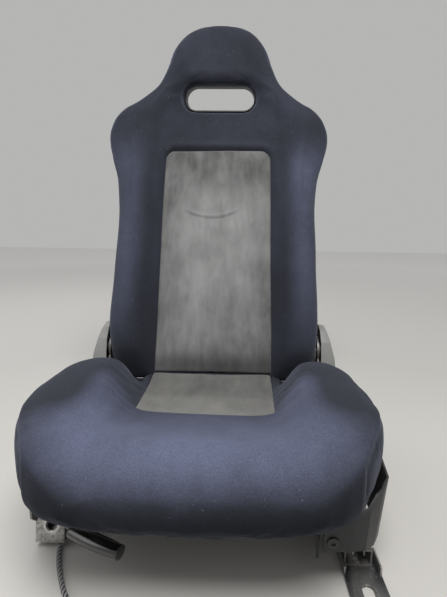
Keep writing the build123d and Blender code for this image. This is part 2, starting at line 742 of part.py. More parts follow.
# Backrest stations from bottom to top: z, half width, bolster depth, channel half width, rear y of the pad.
BACK_STATIONS = [
    (-60, 206, 2, 128, 30),
    (-30, 219, 30, 130, 38),
    (0, 225, 50, 132, 38),
    (60, 230, 60, 132, 38),
    (180, 226, 58, 131, 38),
    (290, 224, 52, 130, 38),
    (380, 231, 44, 128, 38),
    (450, 249, 34, 127, 38),
    (505, 263, 26, 130, 38),
    (540, 255, 24, 130, 38),
    (570, 234, 22, 120, 38),
    (604, 190, 20, 96, 38),
    (640, 152, 20, 80, 38),
    (690, 129, 22, 64, 38),
    (735, 112, 20, 52, 38),
    (775, 84, 14, 40, 30),
    (803, 46, 2, 26, 10),
]


def back_section(z, half, depth, channel, rear):
    """Outline of the backrest across the seat at one height."""
    front = BACK_FACE
    reach = half - channel
    inner = half - 24
    right = [
        (channel, front),
        (channel + 0.3 * reach, front - 0.75 * depth),
        (channel + 0.62 * reach, front - depth),
        (half - 0.1 * reach, front - 0.8 * depth),
        (half, front - 0.3 * depth),
        (half - 4, front + 20),
        (half - 8, rear - 12),
        (half - 16, rear),
        (inner, rear),
        (inner - 5, PAD_REAR),
    ]
    left = [(-x, y) for x, y in reversed(right)]
    return [(x, y, z) for x, y in right + left]


def back_solid():
    """The backrest's foam and cover as one closed shape, in the upright frame."""
    pad = lofted([back_section(*station) for station in BACK_STATIONS])
    pad -= head_hole(0, (-120, 60))
    for z in ARM_BOLTS_Z:
        pad -= along_x(ARM_BOLT_Y, z, 8, (-250, 250))
    return pad


def head_hole(grow, y):
    """A bar through the head opening, larger by grow all round, between two y values."""
    half_height = HOLE_HALF_HEIGHT + grow
    straight = HOLE_HALF_WIDTH - HOLE_HALF_HEIGHT
    reach = (-150, 150)
    bar = block((-straight, straight), reach, (-half_height, half_height))
    for x in (-straight, straight):
        bar += along_y(x, 0, half_height, reach)
    bar = Pos(0, BACK_FACE, HOLE_Z) * Rot(X=HOLE_RISE) * bar
    return bar & block((-200, 200), y, (HOLE_Z - 200, HOLE_Z + 200))


def back_pocket():
    """The space that the backrest's centre panel takes."""
    z0, z1, corner = -46.0, 473.0, 26.0
    outline = make_face(Plane.XZ * Polyline((-132, z0), (132, z0), (126, z1), (-126, z1), close=True))
    top = outline.vertices().group_by(Axis.Z)[-1]
    outline = fillet(top, corner)
    bar = extrude(outline, 90)
    return Pos(0, BACK_FACE + INSERT_DEPTH, 0) * bar


# --- Backrest frame -----------------------------------------------------------------------------
def back_member():
    """Pressed channel up the side of the backrest. Made for the right side."""
    y, z = (8.0, 38.0), (-34.0, 452.0)
    member = block((MEMBER_X, MEMBER_X + SHEET), y, z)
    for edge in (y[0], y[1] - SHEET):
        member += block((MEMBER_X - 14, MEMBER_X), (edge, edge + SHEET), z)
    for height in ARM_BOLTS_Z:
        member -= along_x(ARM_BOLT_Y, height, 4 + FIT, (MEMBER_X - 1, MEMBER_X + SHEET + 1))
    return BACK * member


def back_top_tube():
    """Bent tube from member to member round the head opening."""
    x, y = MEMBER_X - 10.0, 23.0
    right = [(x, y, 380), (x, y, 500), (128, y, 590), (108, y, 640), (92, y, 685), (50, y, 728)]
    left = [(-a, b, c) for a, b, c in reversed(right)]
    return BACK * rod(right + left, 9.0, 22)


def back_cross():
    """Channel across the bottom of the backrest."""
    x = MEMBER_X - 0.0
    cross = block((-x, x), (12, 15), (-30, 6)) + block((-x, x), (15, 34), (-30, -27))
    return BACK * cross


def back_springs():
    """Zigzag wires across the backrest between the side members."""
    made = []
    for z in (70, 160, 250, 340):
        flat = zigzag(-162.5, z, 25.0, 0, 12, 14, "x")
        made.append(BACK * rod([(a, 11.0 + 3.2, b) for a, b in flat], 1.6, 8))
    return group(*made)


def head_bezel():
    """Moulded ring that lines the head opening from behind."""
    ring = head_hole(-0.3, (-8, SHELL_Y + 3))
    ring += head_hole(9, (SHELL_Y + 3, SHELL_Y + 5.5))
    ring -= head_hole(-3.3, (-20, SHELL_Y + 20))
    return BACK * ring


def back_shell():
    """Thin moulded panel that closes the back."""
    half = [(s[1] - 14, s[0]) for s in BACK_STATIONS if -40 < s[0] < 740]
    outline = half + [(-x, z) for x, z in reversed(half)]
    face = make_face(Plane.XZ * Polyline(*outline, close=True))
    panel = Pos(0, SHELL_Y + 3, 0) * extrude(face, 3)
    lip = Pos(0, SHELL_Y, 0) * extrude(face - offset(face, -3), 3)
    shell = panel + lip - head_hole(0, (0, 60))
    for x, z in SHELL_SCREWS:
        shell -= along_y(x, z, 3, (30, 60))
    return BACK * shell


SHELL_SCREWS = [(-168, 20), (168, 20), (-168, 440), (168, 440)]


def shell_screws():
    """Screws through the back shell into the side members' flanges."""
    made = []
    for x, z in SHELL_SCREWS:
        screw = along_y(x, z, 2.8, (38.2, SHELL_Y + 3)) + along_y(x, z, 6, (SHELL_Y + 3, SHELL_Y + 5))
        made.append(BACK * screw)
    return group(*made)


# --- Harness lead -------------------------------------------------------------------------------
def lead_radii():
    """Bend radius at each corner of the lead's route."""
    radii = []
    points = [Vector(*p) for p in LEAD_ROUTE]
    for a, b, c in zip(points, points[1:], points[2:]):
        turn = math.radians((b - a).get_angle(c - b))
        shorter = min((b - a).length, (c - b).length)
        radii.append(0.45 * shorter / math.tan(turn / 2))
    return radii


def harness_lead():
    """The braided lead, from its gland to its plug."""
    radii = lead_radii()
    path = FilletPolyline(*LEAD_ROUTE, radius=radii)
    start = Plane(origin=path @ 0, z_dir=path % 0)
    lead = sweep(start * Circle(LEAD_R), path=path)
    share = lead.volume / (math.pi * LEAD_R**2 * path.length)
    print("lead length", round(path.length, 1), "volume share", round(share, 4))
    print("lead radii", [round(r) for r in radii])
    return lead


def lead_end(index, ahead):
    """Plane at one end of the lead's route that faces along the route."""
    a, b = (Vector(*LEAD_ROUTE[i]) for i in index)
    return Plane(origin=b if ahead else a, z_dir=b - a)


def lead_gland():
    """Tapered rubber sleeve clipped to the left rail's inner wall, where the lead starts."""
    start = lead_end((0, 1), False)
    sleeve = loft([start * Circle(LEAD_R + 1.2), start.offset(-20) * Circle(LEAD_R + 2.0)])
    x = -RAIL_X + RAIL_HALF
    return sleeve & block((x + 0.0, x + 20), (-300, -200), (0, 40))


def lead_clip():
    """Steel saddle that holds the gland on the rail's inner wall."""
    x = -RAIL_X + RAIL_HALF
    saddle = block((x, x + 12.6), (-225, -217), (7.6, 24.4))
    return saddle - block((x - 1, x + 11.4), (-230, -215), (8.8, 23.2)) - lead_gland()


def lead_plug():
    """Two-way connector at the end of the lead."""
    end = lead_end((-2, -1), True)
    tilt = Plane(origin=end.origin, x_dir=(0, 0, 1), z_dir=end.z_dir)
    collar = extrude(tilt * Circle(LEAD_R), 6)
    shell = extrude(tilt.offset(6) * RectangleRounded(8.0, 14, 1.5), 24)
    mouth = extrude(tilt.offset(20) * RectangleRounded(5.6, 11.4, 1.0), 12)
    return collar + shell - mouth


# --- Assembly -----------------------------------------------------------------------------------
def main():
    os.makedirs("parts", exist_ok=True)

    right_lower = rivet_holes(lower_rail("right"), 1)
    left_lower = rivet_holes(flipped(lower_rail("left")), -1)
    save("right_lower_rail", right_lower)
    save("left_lower_rail", left_lower)
    save("right_front_foot", rivet_holes(right_front_foot(), 1))
    save("left_front_foot", rivet_holes(left_front_foot(), -1))
    save("right_rear_foot", rivet_holes(right_rear_foot(), 1))
    save("left_rear_foot", rivet_holes(left_rear_foot(), -1))
    save("foot_rivets", foot_rivets())

    save("right_upper_rail", bolted(upper_rail()))
    save("left_upper_rail", flipped(bolted(upper_rail())))
    save("rail_rollers", group(rollers(False), flipped(rollers(False))))
    save("roller_cages", group(rollers(True), flipped(rollers(True))))
    save("slider_shoes", group(slider_shoes(), flipped(slider_shoes())))

    save("right_side_frame", side_frame())
    save("left_side_frame", flipped(side_frame()))
    save("rail_bolts", group(rail_bolts(), flipped(rail_bolts())))
    save("front_cross_tube", cross_tube(FRONT_TUBE))
    save("rear_cross_tube", cross_tube(REAR_TUBE))
    save("seat_pan", seat_pan())
    save("cushion_springs", cushion_springs())

    save("right_recliner_base", recliner_base())
    save("left_recliner_base", flipped(recliner_base()))
    save("right_recliner_arm", recliner_arm())
    save("left_recliner_arm", flipped(recliner_arm()))
    save("arm_bolts", group(arm_bolts(), flipped(arm_bolts())))
    save("pivot_pins", group(pivot_pin(), flipped(pivot_pin())))
    save("return_springs", group(return_spring(), flipped(return_spring())))
    save("recliner_pawls", group(pawl(), flipped(pawl())))
    save("pawl_pins", group(pawl_pin(), flipped(pawl_pin())))
    save("release_cams", group(release_cam(), flipped(release_cam())))
    save("release_shaft", along_x(*SHAFT, SHAFT_R, (-BASE_X - ARM_T - 4, 281)))
    save("recline_lever", recline_lever())
    save("recline_grip", recline_grip())
    save("right_recliner_cover", recliner_cover())
    save("left_recliner_cover", flipped(recliner_cover()))

    save("side_shield", side_shield())
    save("shield_screws", shield_screws())
    save("shield_bracket", shield_bracket())
    save("retaining_hook", retaining_hook())

    save("left_latch", latch(-1))
    save("right_latch", latch(1))
    save("latch_hangers", latch_hangers())
    save("slide_rod", slide_rod())
    save("slide_grip", slide_grip())
    save("right_latch_shaft", right_latch_shaft())
    save("sync_link", sync_link())

    cushion = cushion_solid()
    pocket = cushion_pocket()
    save("cushion_pad", cushion - pocket)
    save("cushion_insert", cushion & pocket)
    back = back_solid()
    save("back_pad", BACK * (back - back_pocket()))
    save("back_insert", BACK * (back & back_pocket()))

    save("back_members", group(back_member(), flipped(back_member())))
    save("back_top_tube", back_top_tube())
    save("back_cross", back_cross())
    save("back_springs", back_springs())
    save("head_bezel", head_bezel())
    save("back_shell", back_shell())
    save("shell_screws", shell_screws())

    save("harness_lead", harness_lead())
    save("lead_gland", lead_gland())
    save("lead_clip", lead_clip())
    save("lead_plug", lead_plug())


def bolted(rail):
    """Cuts the clamp bolts' holes in the upper rail's web."""
    for y in RAIL_BOLTS_Y:
        rail -= along_x(y, BOLT_Z, BOLT_R + FIT, (RAIL_X - 5, RAIL_X + 5))
    return rail


main()
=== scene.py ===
import json
import math

import bmesh
import bpy
import numpy as np
from mathutils import Matrix, Vector
from mathutils.bvhtree import BVHTree


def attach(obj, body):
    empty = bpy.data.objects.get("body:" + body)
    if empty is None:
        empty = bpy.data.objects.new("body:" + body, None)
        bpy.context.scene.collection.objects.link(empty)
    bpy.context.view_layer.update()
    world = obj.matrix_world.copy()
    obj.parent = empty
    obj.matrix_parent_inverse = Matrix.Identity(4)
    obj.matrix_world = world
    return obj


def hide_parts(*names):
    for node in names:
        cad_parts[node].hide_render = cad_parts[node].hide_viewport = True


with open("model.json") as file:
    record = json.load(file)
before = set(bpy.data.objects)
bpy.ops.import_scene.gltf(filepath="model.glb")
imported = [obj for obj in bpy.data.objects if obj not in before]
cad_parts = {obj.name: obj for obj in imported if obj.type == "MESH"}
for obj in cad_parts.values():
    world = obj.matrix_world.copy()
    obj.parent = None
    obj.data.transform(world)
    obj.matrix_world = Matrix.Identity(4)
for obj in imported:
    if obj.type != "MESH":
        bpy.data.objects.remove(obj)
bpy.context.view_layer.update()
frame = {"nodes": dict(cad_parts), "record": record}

nodes = frame["nodes"]
MM = 0.001

# --- Camera ---------------------------------------------------------------------------------------
# The eye in metres, and its pitch down, yaw and roll in degrees.
EYE = Vector((0.0498, -0.875, 0.503))
PITCH, YAW, ROLL = (math.radians(a) for a in (10.3, 1.64, 0.71))
SENSOR_WIDTH, FOCAL_LENGTH = 36.0, 27.14
ahead = Vector((-math.sin(YAW) * math.cos(PITCH), math.cos(YAW) * math.cos(PITCH), -math.sin(PITCH)))
level = Vector((math.cos(YAW), math.sin(YAW), 0.0))
above = level.cross(ahead)
right = math.cos(ROLL) * level + math.sin(ROLL) * above
up = math.cos(ROLL) * above - math.sin(ROLL) * level
camera_data = bpy.data.cameras.new("camera")
camera_data.sensor_width = SENSOR_WIDTH
camera_data.lens = FOCAL_LENGTH
camera = bpy.data.objects.new("camera", camera_data)
turn = Matrix((right, up, -ahead)).transposed().to_4x4()
camera.matrix_world = Matrix.Translation(EYE) @ turn
bpy.context.scene.collection.objects.link(camera)
bpy.context.scene.camera = camera


# --- Node helpers ---------------------------------------------------------------------------------
class Shader:
    """One material's node tree, with short calls for the nodes this scene uses."""

    def __init__(self, name):
        self.mat = bpy.data.materials.new(name)
        self.mat.use_nodes = True
        self.tree = self.mat.node_tree
        self.bsdf = self.tree.nodes["Principled BSDF"]
        self.where = self.node("ShaderNodeTexCoord").outputs["Object"]

    def node(self, kind, **values):
        made = self.tree.nodes.new(kind)
        for key, value in values.items():
            setattr(made, key, value)
        return made

    def put(self, socket, value):
        if isinstance(value, bpy.types.NodeSocket):
            self.tree.links.new(value, socket)
        else:
            socket.default_value = value

    def set(self, **values):
        for key, value in values.items():
            self.put(self.bsdf.inputs[key.replace("_", " ")], value)

    def scaled(self, scale):
        made = self.node("ShaderNodeMapping")
        self.put(made.inputs["Vector"], self.where)
        made.inputs["Scale"].default_value = scale
        return made.outputs["Vector"]

    def noise(self, scale, detail=4.0, rough=0.55, where=None):
        made = self.node("ShaderNodeTexNoise")
        self.put(made.inputs["Vector"], where or self.where)
        made.inputs["Scale"].default_value = scale
        made.inputs["Detail"].default_value = detail
        made.inputs["Roughness"].default_value = rough
        return made.outputs["Fac"]

    def voronoi(self, scale):
        made = self.node("ShaderNodeTexVoronoi")
        self.put(made.inputs["Vector"], self.where)
        made.inputs["Scale"].default_value = scale
        return made.outputs["Distance"]

    def wave(self, scale, direction, distortion):
        made = self.node("ShaderNodeTexWave", bands_direction=direction)
        self.put(made.inputs["Vector"], self.where)
        made.inputs["Scale"].default_value = scale
        made.inputs["Distortion"].default_value = distortion
        return made.outputs["Fac"]

    def ramp(self, fac, stops):
        made = self.node("ShaderNodeValToRGB")
        self.put(made.inputs["Fac"], fac)
        ramp = made.color_ramp
        while len(ramp.elements) < len(stops):
            ramp.elements.new(0.5)
        for element, (place, colour) in zip(ramp.elements, stops):
            element.position = place
            element.color = (*colour, 1.0)
        return made.outputs["Color"]

    def mix(self, fac, a, b, kind="MIX"):
        """Mixes two colours; inputs 6 and 7 and output 2 are the node's colour sockets."""
        made = self.node("ShaderNodeMix", data_type="RGBA", blend_type=kind)
        self.put(made.inputs["Factor"], fac)
        self.put(made.inputs[6], (*a, 1.0) if isinstance(a, tuple) else a)
        self.put(made.inputs[7], (*b, 1.0) if isinstance(b, tuple) else b)
        return made.outputs[2]

    def math(self, kind, a, b, clamp=False):
        made = self.node("ShaderNodeMath", operation=kind, use_clamp=clamp)
        self.put(made.inputs[0], a)
        self.put(made.inputs[1], b)
        return made.outputs[0]

    def attribute(self, name):
        return self.node("ShaderNodeAttribute", attribute_name=name).outputs["Fac"]

    def bumps(self, *layers):
        """Stacks bump layers of (height, distance, strength)."""
        normal = None
        for height, distance, strength in layers:
            made = self.node("ShaderNodeBump")
            self.put(made.inputs["Height"], height)
            made.inputs["Distance"].default_value = distance
            made.inputs["Strength"].default_value = strength
            if normal is not None:
                self.put(made.inputs["Normal"], normal)
            normal = made.outputs["Normal"]
        self.put(self.bsdf.inputs["Normal"], normal)


def knit_fabric(name, unfaded, faded_and_lit):
    """Dense brushed knit. Attributes: wear lightens it to dusty blue, and on the cushion's top that is
    painted light; shade is painted shade that keeps it near black underneath.
    """
    s = Shader(name)
    rows = s.wave(330.0, "X", 1.2)
    loops = s.math("ADD", s.wave(330.0, "Z", 1.2), s.wave(330.0, "Y", 1.2))
    weave = s.math("ADD", s.math("MULTIPLY", rows, 0.4), s.math("MULTIPLY", loops, 0.3))
    fluff = s.noise(1100.0, 2.0)
    strokes = s.noise(1.0, 4.0, 0.6, s.scaled((34.0, 9.0, 22.0)))
    clouds = s.math("MULTIPLY", s.noise(9.0, 6.0, 0.62), 0.55)
    mottle = s.math("ADD", clouds, s.math("MULTIPLY", strokes, 0.45))
    patches = s.math("MULTIPLY", s.math("SUBTRACT", mottle, 0.5), 0.8)
    brushed = s.math("MULTIPLY", s.math("SUBTRACT", s.noise(38.0, 5.0, 0.7), 0.5), 0.35)
    wear = s.attribute("wear")
    uneven = s.math("MULTIPLY", s.math("ADD", patches, brushed), s.math("ADD", wear, 0.25))
    # the wear attribute mixes towards the dusty blue; on the cushion's up-facing top this is painted light
    colour = s.mix(s.math("ADD", wear, uneven, clamp=True), unfaded, faded_and_lit)
    speck = s.ramp(s.noise(520.0, 2.0, 0.7), [(0.3, (0.74, 0.74, 0.74)), (0.66, (1.16, 1.16, 1.16))])
    colour = s.mix(0.85, colour, speck, "MULTIPLY")
    lint = s.ramp(s.noise(260.0, 2.0, 0.6), [(0.71, (0, 0, 0)), (0.75, (1, 1, 1))])
    colour = s.mix(s.math("MULTIPLY", lint, 0.3), colour, (0.25, 0.26, 0.28))
    # painted shade: the shade attribute darkens the cloth towards 8% of its unfaded colour
    colour = s.mix(s.attribute("shade"), colour, tuple(c * 0.08 for c in unfaded))
    s.set(Base_Color=colour, Roughness=0.93, Sheen_Weight=0.14, Sheen_Roughness=0.45, Specular_IOR_Level=0.1)
    s.bsdf.inputs["Sheen Tint"].default_value = (0.6, 0.65, 0.85, 1.0)
    s.bumps((weave, 0.0006, 0.3), (fluff, 0.0004, 0.3), (patches, 0.004, 0.2))
    return s.mat


def suede(name, dark, light, streak_scale):
    """Brushed suede. The nap lies different ways in long streaks; the wear attribute lightens it and also
    carries some painted light and shade, and the shade attribute darkens it as painted shade.
    """
    s = Shader(name)
    long_streaks = s.noise(1.0, 2.5, 0.5, s.scaled(streak_scale))
    short_streaks = s.noise(1.0, 3.0, 0.55, s.scaled(tuple(v * 2.7 for v in streak_scale)))
    cloud = s.noise(9.0, 3.0, 0.55)
    grain = s.noise(1500.0, 2.0)
    nap = s.math("ADD", s.math("MULTIPLY", long_streaks, 0.34), s.math("MULTIPLY", short_streaks, 0.16))
    nap = s.math("ADD", nap, s.math("MULTIPLY", cloud, 0.5))
    nap = s.math("ADD", nap, s.math("MULTIPLY", s.attribute("wear"), 0.2))
    colour = s.ramp(nap, [(0.3, dark), (0.78, light)])
    fine = s.ramp(grain, [(0.3, (0.78, 0.78, 0.78)), (0.75, (1.14, 1.14, 1.14))])
    colour = s.mix(0.8, colour, fine, "MULTIPLY")
    # painted shade: the shade attribute darkens the suede towards a quarter of its dark colour
    colour = s.mix(s.attribute("shade"), colour, tuple(c * 0.25 for c in dark))
    s.set(Base_Color=colour, Roughness=0.95, Sheen_Weight=0.2, Sheen_Roughness=0.6, Specular_IOR_Level=0.1)
    s.bumps((long_streaks, 0.0012, 0.3), (grain, 0.0004, 0.4))
    return s.mat


def moulded(name, base, rough, grain_scale=900.0, wear=0.25, gloss=0.5):
    """Moulded plastic with a leather grain, faint scuffs and dust."""
    s = Shader(name)
    grain = s.voronoi(grain_scale)
    scuff = s.noise(60.0, 6.0, 0.7, s.scaled((1.0, 0.25, 1.6)))
    pale = tuple(min(1.0, c * 1.7 + 0.03) for c in base)
    scuffed = s.ramp(scuff, [(0.55, (0, 0, 0)), (0.75, (1, 1, 1))])
    colour = s.mix(s.math("MULTIPLY", scuffed, wear), base, pale)
    roughness = s.math("ADD", s.math("MULTIPLY", s.noise(35.0, 4.0), 0.18), rough - 0.09)
    s.set(Base_Color=colour, Roughness=roughness, Specular_IOR_Level=gloss)
    s.bumps((grain, 0.0003, 0.35), (scuff, 0.0003, 0.15))
    return s.mat


def metal(name, paint, bare, worn, rough=0.45, metallic=0.35, edge=0.6):
    """Painted or plated steel that is scratched down to bare metal, more so on its edges."""
    s = Shader(name)
    chips = s.noise(95.0, 8.0, 0.75)
    scratches = s.noise(1.0, 6.0, 0.6, s.scaled((260.0, 22.0, 260.0)))
    sharp = s.node("ShaderNodeNewGeometry").outputs["Pointiness"]
    edges = s.ramp(sharp, [(0.5, (0, 0, 0)), (0.56, (1, 1, 1))])
    bared = s.ramp(s.math("ADD", s.math("MULTIPLY", chips, 0.6), s.math("MULTIPLY", scratches, 0.4)),
                   [(0.62 - worn * 0.25, (0, 0, 0)), (0.7 - worn * 0.2, (1, 1, 1))])
    fac = s.math("ADD", s.math("MULTIPLY", edges, edge), s.math("MULTIPLY", bared, worn), clamp=True)
    tint = s.mix(s.noise(30.0, 5.0), tuple(c * 0.75 for c in paint), tuple(c * 1.25 for c in paint))
    colour = s.mix(fac, tint, bare)
    s.set(Base_Color=colour, Metallic=s.math("ADD", s.math("MULTIPLY", fac, 0.5), metallic, clamp=True),
          Roughness=s.math("ADD", s.math("MULTIPLY", chips, 0.25), rough - 0.12))
    s.bumps((chips, 0.0002, 0.3), (scratches, 0.0001, 0.3))
    return s.mat


def wear_ring(material, centre, inner, outer):
    """Wears a bright ring into a metal round a bolt hole's centre. Mix inputs 6 and 7 are its colours."""
    tree = material.node_tree
    bsdf = tree.nodes["Principled BSDF"]
    where = tree.nodes["Texture Coordinate"].outputs["Object"]
    away = tree.nodes.new("ShaderNodeVectorMath")
    away.operation = "DISTANCE"
    tree.links.new(where, away.inputs[0])
    away.inputs[1].default_value = centre
    band = tree.nodes.new("ShaderNodeMapRange")
    band.interpolation_type = "SMOOTHSTEP"
    tree.links.new(away.outputs["Value"], band.inputs["Value"])
    band.inputs["From Min"].default_value = outer
    band.inputs["From Max"].default_value = (inner + outer) / 2
    blend = tree.nodes.new("ShaderNodeMix")
    blend.data_type = "RGBA"
    tree.links.new(band.outputs["Result"], blend.inputs["Factor"])
    tree.links.new(bsdf.inputs["Base Color"].links[0].from_socket, blend.inputs[6])
    blend.inputs[7].default_value = (0.55, 0.54, 0.53, 1.0)
    tree.links.new(blend.outputs[2], bsdf.inputs["Base Color"])


def braided(name):
    """Sleeve braided from black and grey yarns; the attribute says which yarn is on top."""
    s = Shader(name)
    yarn = s.ramp(s.attribute("yarn"), [(0.42, (0.01, 0.01, 0.012)), (0.58, (0.24, 0.24, 0.25))])
    fuzz = s.ramp(s.noise(1400.0, 2.0), [(0.3, (0.7, 0.7, 0.7)), (0.8, (1.2, 1.2, 1.2))])
    s.set(Base_Color=s.mix(0.8, yarn, fuzz, "MULTIPLY"), Roughness=0.7, Sheen_Weight=0.2)
    s.bumps((s.noise(1400.0, 2.0), 0.0002, 0.5))
    return s.mat


# The centre of the left front bracket's bolt hole, in metres.
LEFT_HOLE = (-0.225, -0.2712, 0.0375)

# The knit's navy, and the dusty blue of worn cloth, which on the cushion's top is painted light.
navy = knit_fabric("navy_knit", (0.0225, 0.0243, 0.0325), (0.093, 0.105, 0.165))
back_suede = suede("back_suede", (0.06, 0.061, 0.0615), (0.235, 0.238, 0.241), (42.0, 42.0, 3.2))
seat_suede = suede("seat_suede", (0.045, 0.045, 0.043), (0.15, 0.15, 0.142), (40.0, 10.0, 40.0))
shell_plastic = moulded("black_shell", (0.022, 0.022, 0.024), 0.55)
shield_plastic = moulded("charcoal_shield", (0.019, 0.0195, 0.021), 0.5, 900.0, 0.25, 0.4)
cover_plastic = moulded("grey_cover", (0.2, 0.205, 0.2), 0.5, 700.0, 0.3)
grip_plastic = moulded("black_grip", (0.004, 0.004, 0.0045), 0.2, 300.0, 0.03, 0.6)
grip_plastic.node_tree.nodes["Principled BSDF"].inputs["Coat Weight"].default_value = 0.8
nylon = moulded("white_nylon", (0.62, 0.6, 0.54), 0.45, 1200.0, 0.1)
rubber = moulded("black_rubber", (0.012, 0.012, 0.013), 0.75, 1500.0, 0.1, 0.3)
black_steel = metal("black_painted_steel", (0.022, 0.023, 0.026), (0.38, 0.37, 0.36), 0.35)
worn_black_steel = metal("worn_black_steel", (0.026, 0.027, 0.03), (0.42, 0.42, 0.41), 0.35, 0.42, 0.5, 1.0)
worn_steel = metal("worn_steel", (0.085, 0.083, 0.085), (0.46, 0.45, 0.44), 0.75, 0.42, 0.6)
wear_ring(worn_steel, LEFT_HOLE, 0.0085, 0.0135)
spring_steel = metal("spring_steel", (0.09, 0.09, 0.095), (0.35, 0.35, 0.35), 0.3, 0.35, 0.8)
oxide_steel = metal("black_oxide_screw", (0.018, 0.018, 0.019), (0.2, 0.2, 0.2), 0.2, 0.42, 0.3, 0.08)
plated_steel = metal("plated_fastener", (0.33, 0.32, 0.29), (0.6, 0.59, 0.56), 0.4, 0.32, 0.85)
braid = braided("braided_sleeve")

finish_of = {
    "painted_steel": black_steel,
    "worn_zinc": worn_steel,
    "spring_steel": spring_steel,
    "plated_fastener": plated_steel,
    "nylon": nylon,
    "shield_plastic": shield_plastic,
    "cover_plastic": cover_plastic,
    "shell_plastic": shell_plastic,
    "grip_plastic": grip_plastic,
    "cover_fabric": navy,
    "insert_suede": back_suede,
    "braid": braid,
    "lead_rubber": rubber,
}
# Small steel pieces that are blackened rather than painted.
BLACKENED = ("shield_screws", "retaining_hook")
for part in frame["record"]["subparts"]:
    node = nodes[part["node"]]
    for place in node.material_slots:
        place.link = "OBJECT"
        dark = part["node"] in BLACKENED
        place.material = oxide_steel if dark else finish_of[part["material_slot"]]


# --- Mesh helpers ---------------------------------------------------------------------------------
def add_mesh(name, points, faces, material, smooth=True):
    mesh = bpy.data.meshes.new(name)
    mesh.from_pydata([tuple(map(float, p)) for p in points], [], [tuple(map(int, f)) for f in faces])
    mesh.validate()
    mesh.materials.append(material)
    if smooth:
        mesh.shade_smooth()
    made = bpy.data.objects.new(name, mesh)
    bpy.context.scene.collection.objects.link(made)
    return made


def apply_modifiers(obj):
    """Swaps the object's mesh for what its modifiers make of it."""
    evaluated = obj.evaluated_get(bpy.context.evaluated_depsgraph_get())
    mesh = bpy.data.meshes.new_from_object(evaluated)
    obj.modifiers.clear()
    obj.data = mesh
    mesh.shade_smooth()


def points_of(obj):
    flat = np.empty(len(obj.data.vertices) * 3)
    obj.data.vertices.foreach_get("co", flat)
    return flat.reshape(-1, 3)


def set_points(obj, points):
    obj.data.vertices.foreach_set("co", np.ascontiguousarray(points, dtype=np.float64).ravel())
    obj.data.update()


def normals_of(obj):
    flat = np.empty(len(obj.data.vertices) * 3)
    obj.data.vertices.foreach_get("normal", flat)
    return flat.reshape(-1, 3)


def float_attribute(obj, name, values):
    layer = obj.data.attributes.new(name, "FLOAT", "POINT")
    layer.data.foreach_set("value", np.ascontiguousarray(values, dtype=np.float32))


def smoothstep(a, b, x):
    t = np.clip((x - a) / (b - a), 0.0, 1.0)
    return t * t * (3.0 - 2.0 * t)


def monotone(xs, ys, x):
    """Monotone cubic interpolation, so that a row of stations makes a fair curve."""
    xs, ys = np.asarray(xs, float), np.asarray(ys, float)
    step = np.diff(xs)
    slope = np.diff(ys) / step
    tangent = np.zeros_like(ys)
    tangent[0], tangent[-1] = slope[0], slope[-1]
    same = slope[:-1] * slope[1:] > 0
    w1, w2 = 2 * step[1:] + step[:-1], step[1:] + 2 * step[:-1]
    with np.errstate(divide="ignore", invalid="ignore"):
        mean = (w1 + w2) / (w1 / slope[:-1] + w2 / slope[1:])
    tangent[1:-1] = np.where(same, mean, 0.0)
    i = np.clip(np.searchsorted(xs, x) - 1, 0, len(step) - 1)
    t = (x - xs[i]) / step[i]
    h00, h10 = 2 * t**3 - 3 * t**2 + 1, t**3 - 2 * t**2 + t
    h01, h11 = 3 * t**2 - 2 * t**3, t**3 - t**2
    return h00 * ys[i] + h10 * step[i] * tangent[i] + h01 * ys[i + 1] + h11 * step[i] * tangent[i + 1]


def closed_curve(corners, count, pull):
    """A smooth closed curve through the corners. Where pull is 0 the curve is a B-spline inside them."""
    p = np.asarray(corners, float)
    n = len(p)
    t = np.linspace(0, n, count, endpoint=False)
    i = t.astype(int)
    f = (t - i)[:, None]
    a, b, c, d = p[(i - 1) % n], p[i % n], p[(i + 1) % n], p[(i + 2) % n]
    through = 2 * b + (c - a) * f + (2 * a - 5 * b + 4 * c - d) * f**2 + (3 * b - 3 * c + d - a) * f**3
    through /= 2
    inside = a * (1 - f) ** 3 + b * (3 * f**3 - 6 * f**2 + 4)
    inside = (inside + c * (-3 * f**3 + 3 * f**2 + 3 * f + 1) + d * f**3) / 6
    return pull * through + (1 - pull) * inside


def clean(mesh, merge=None):
    """Turns every face outwards, after merging points closer than merge."""
    fix = bmesh.new()
    fix.from_mesh(mesh)
    if merge:
        bmesh.ops.remove_doubles(fix, verts=fix.verts, dist=merge)
    bmesh.ops.recalc_face_normals(fix, faces=fix.faces)
    fix.to_mesh(mesh)
    fix.free()


def tube(name, rings, material):
    """A closed skin over rings of equal length, with a fan at each end."""
    rings = np.asarray(rings)
    count, around = rings.shape[:2]
    points = list(rings.reshape(-1, 3)) + [rings[0].mean(0), rings[-1].mean(0)]
    faces = []
    for i in range(count - 1):
        for j in range(around):
            k = (j + 1) % around
            faces.append((i * around + j, i * around + k, (i + 1) * around + k, (i + 1) * around + j))
    first, last = count * around, count * around + 1
    for j in range(around):
        k = (j + 1) % around
        faces.append((first, k, j))
        faces.append((last, (count - 1) * around + j, (count - 1) * around + k))
    made = add_mesh(name, points, faces, material)
    clean(made.data)
    return made


def relax(obj, rounds):
    made = obj.modifiers.new("relax", "SMOOTH")
    made.iterations = rounds
    made.factor = 0.5
    apply_modifiers(obj)


def remesh(obj, size):
    made = obj.modifiers.new("remesh", "REMESH")
    made.mode = "VOXEL"
    made.voxel_size = size
    apply_modifiers(obj)


def wander(points, scale, seed):
    """Smooth noise from a few sine waves, from about -1 to 1."""
    waves = np.random.default_rng(seed)
    total = np.zeros(len(points))
    for _ in range(10):
        direction = waves.normal(size=3)
        direction /= np.linalg.norm(direction)
        total += np.sin(points @ direction * scale * waves.uniform(0.6, 1.6) + waves.uniform(0, 6.28))
    return total / 4.5


# Every cover swells by the same cloth run. The cap is the furthest that a point may move, in metres.
CLOTH_FRAMES, CLOTH_PRESSURE, CLOTH_CAP = 20, 3.0, 0.004


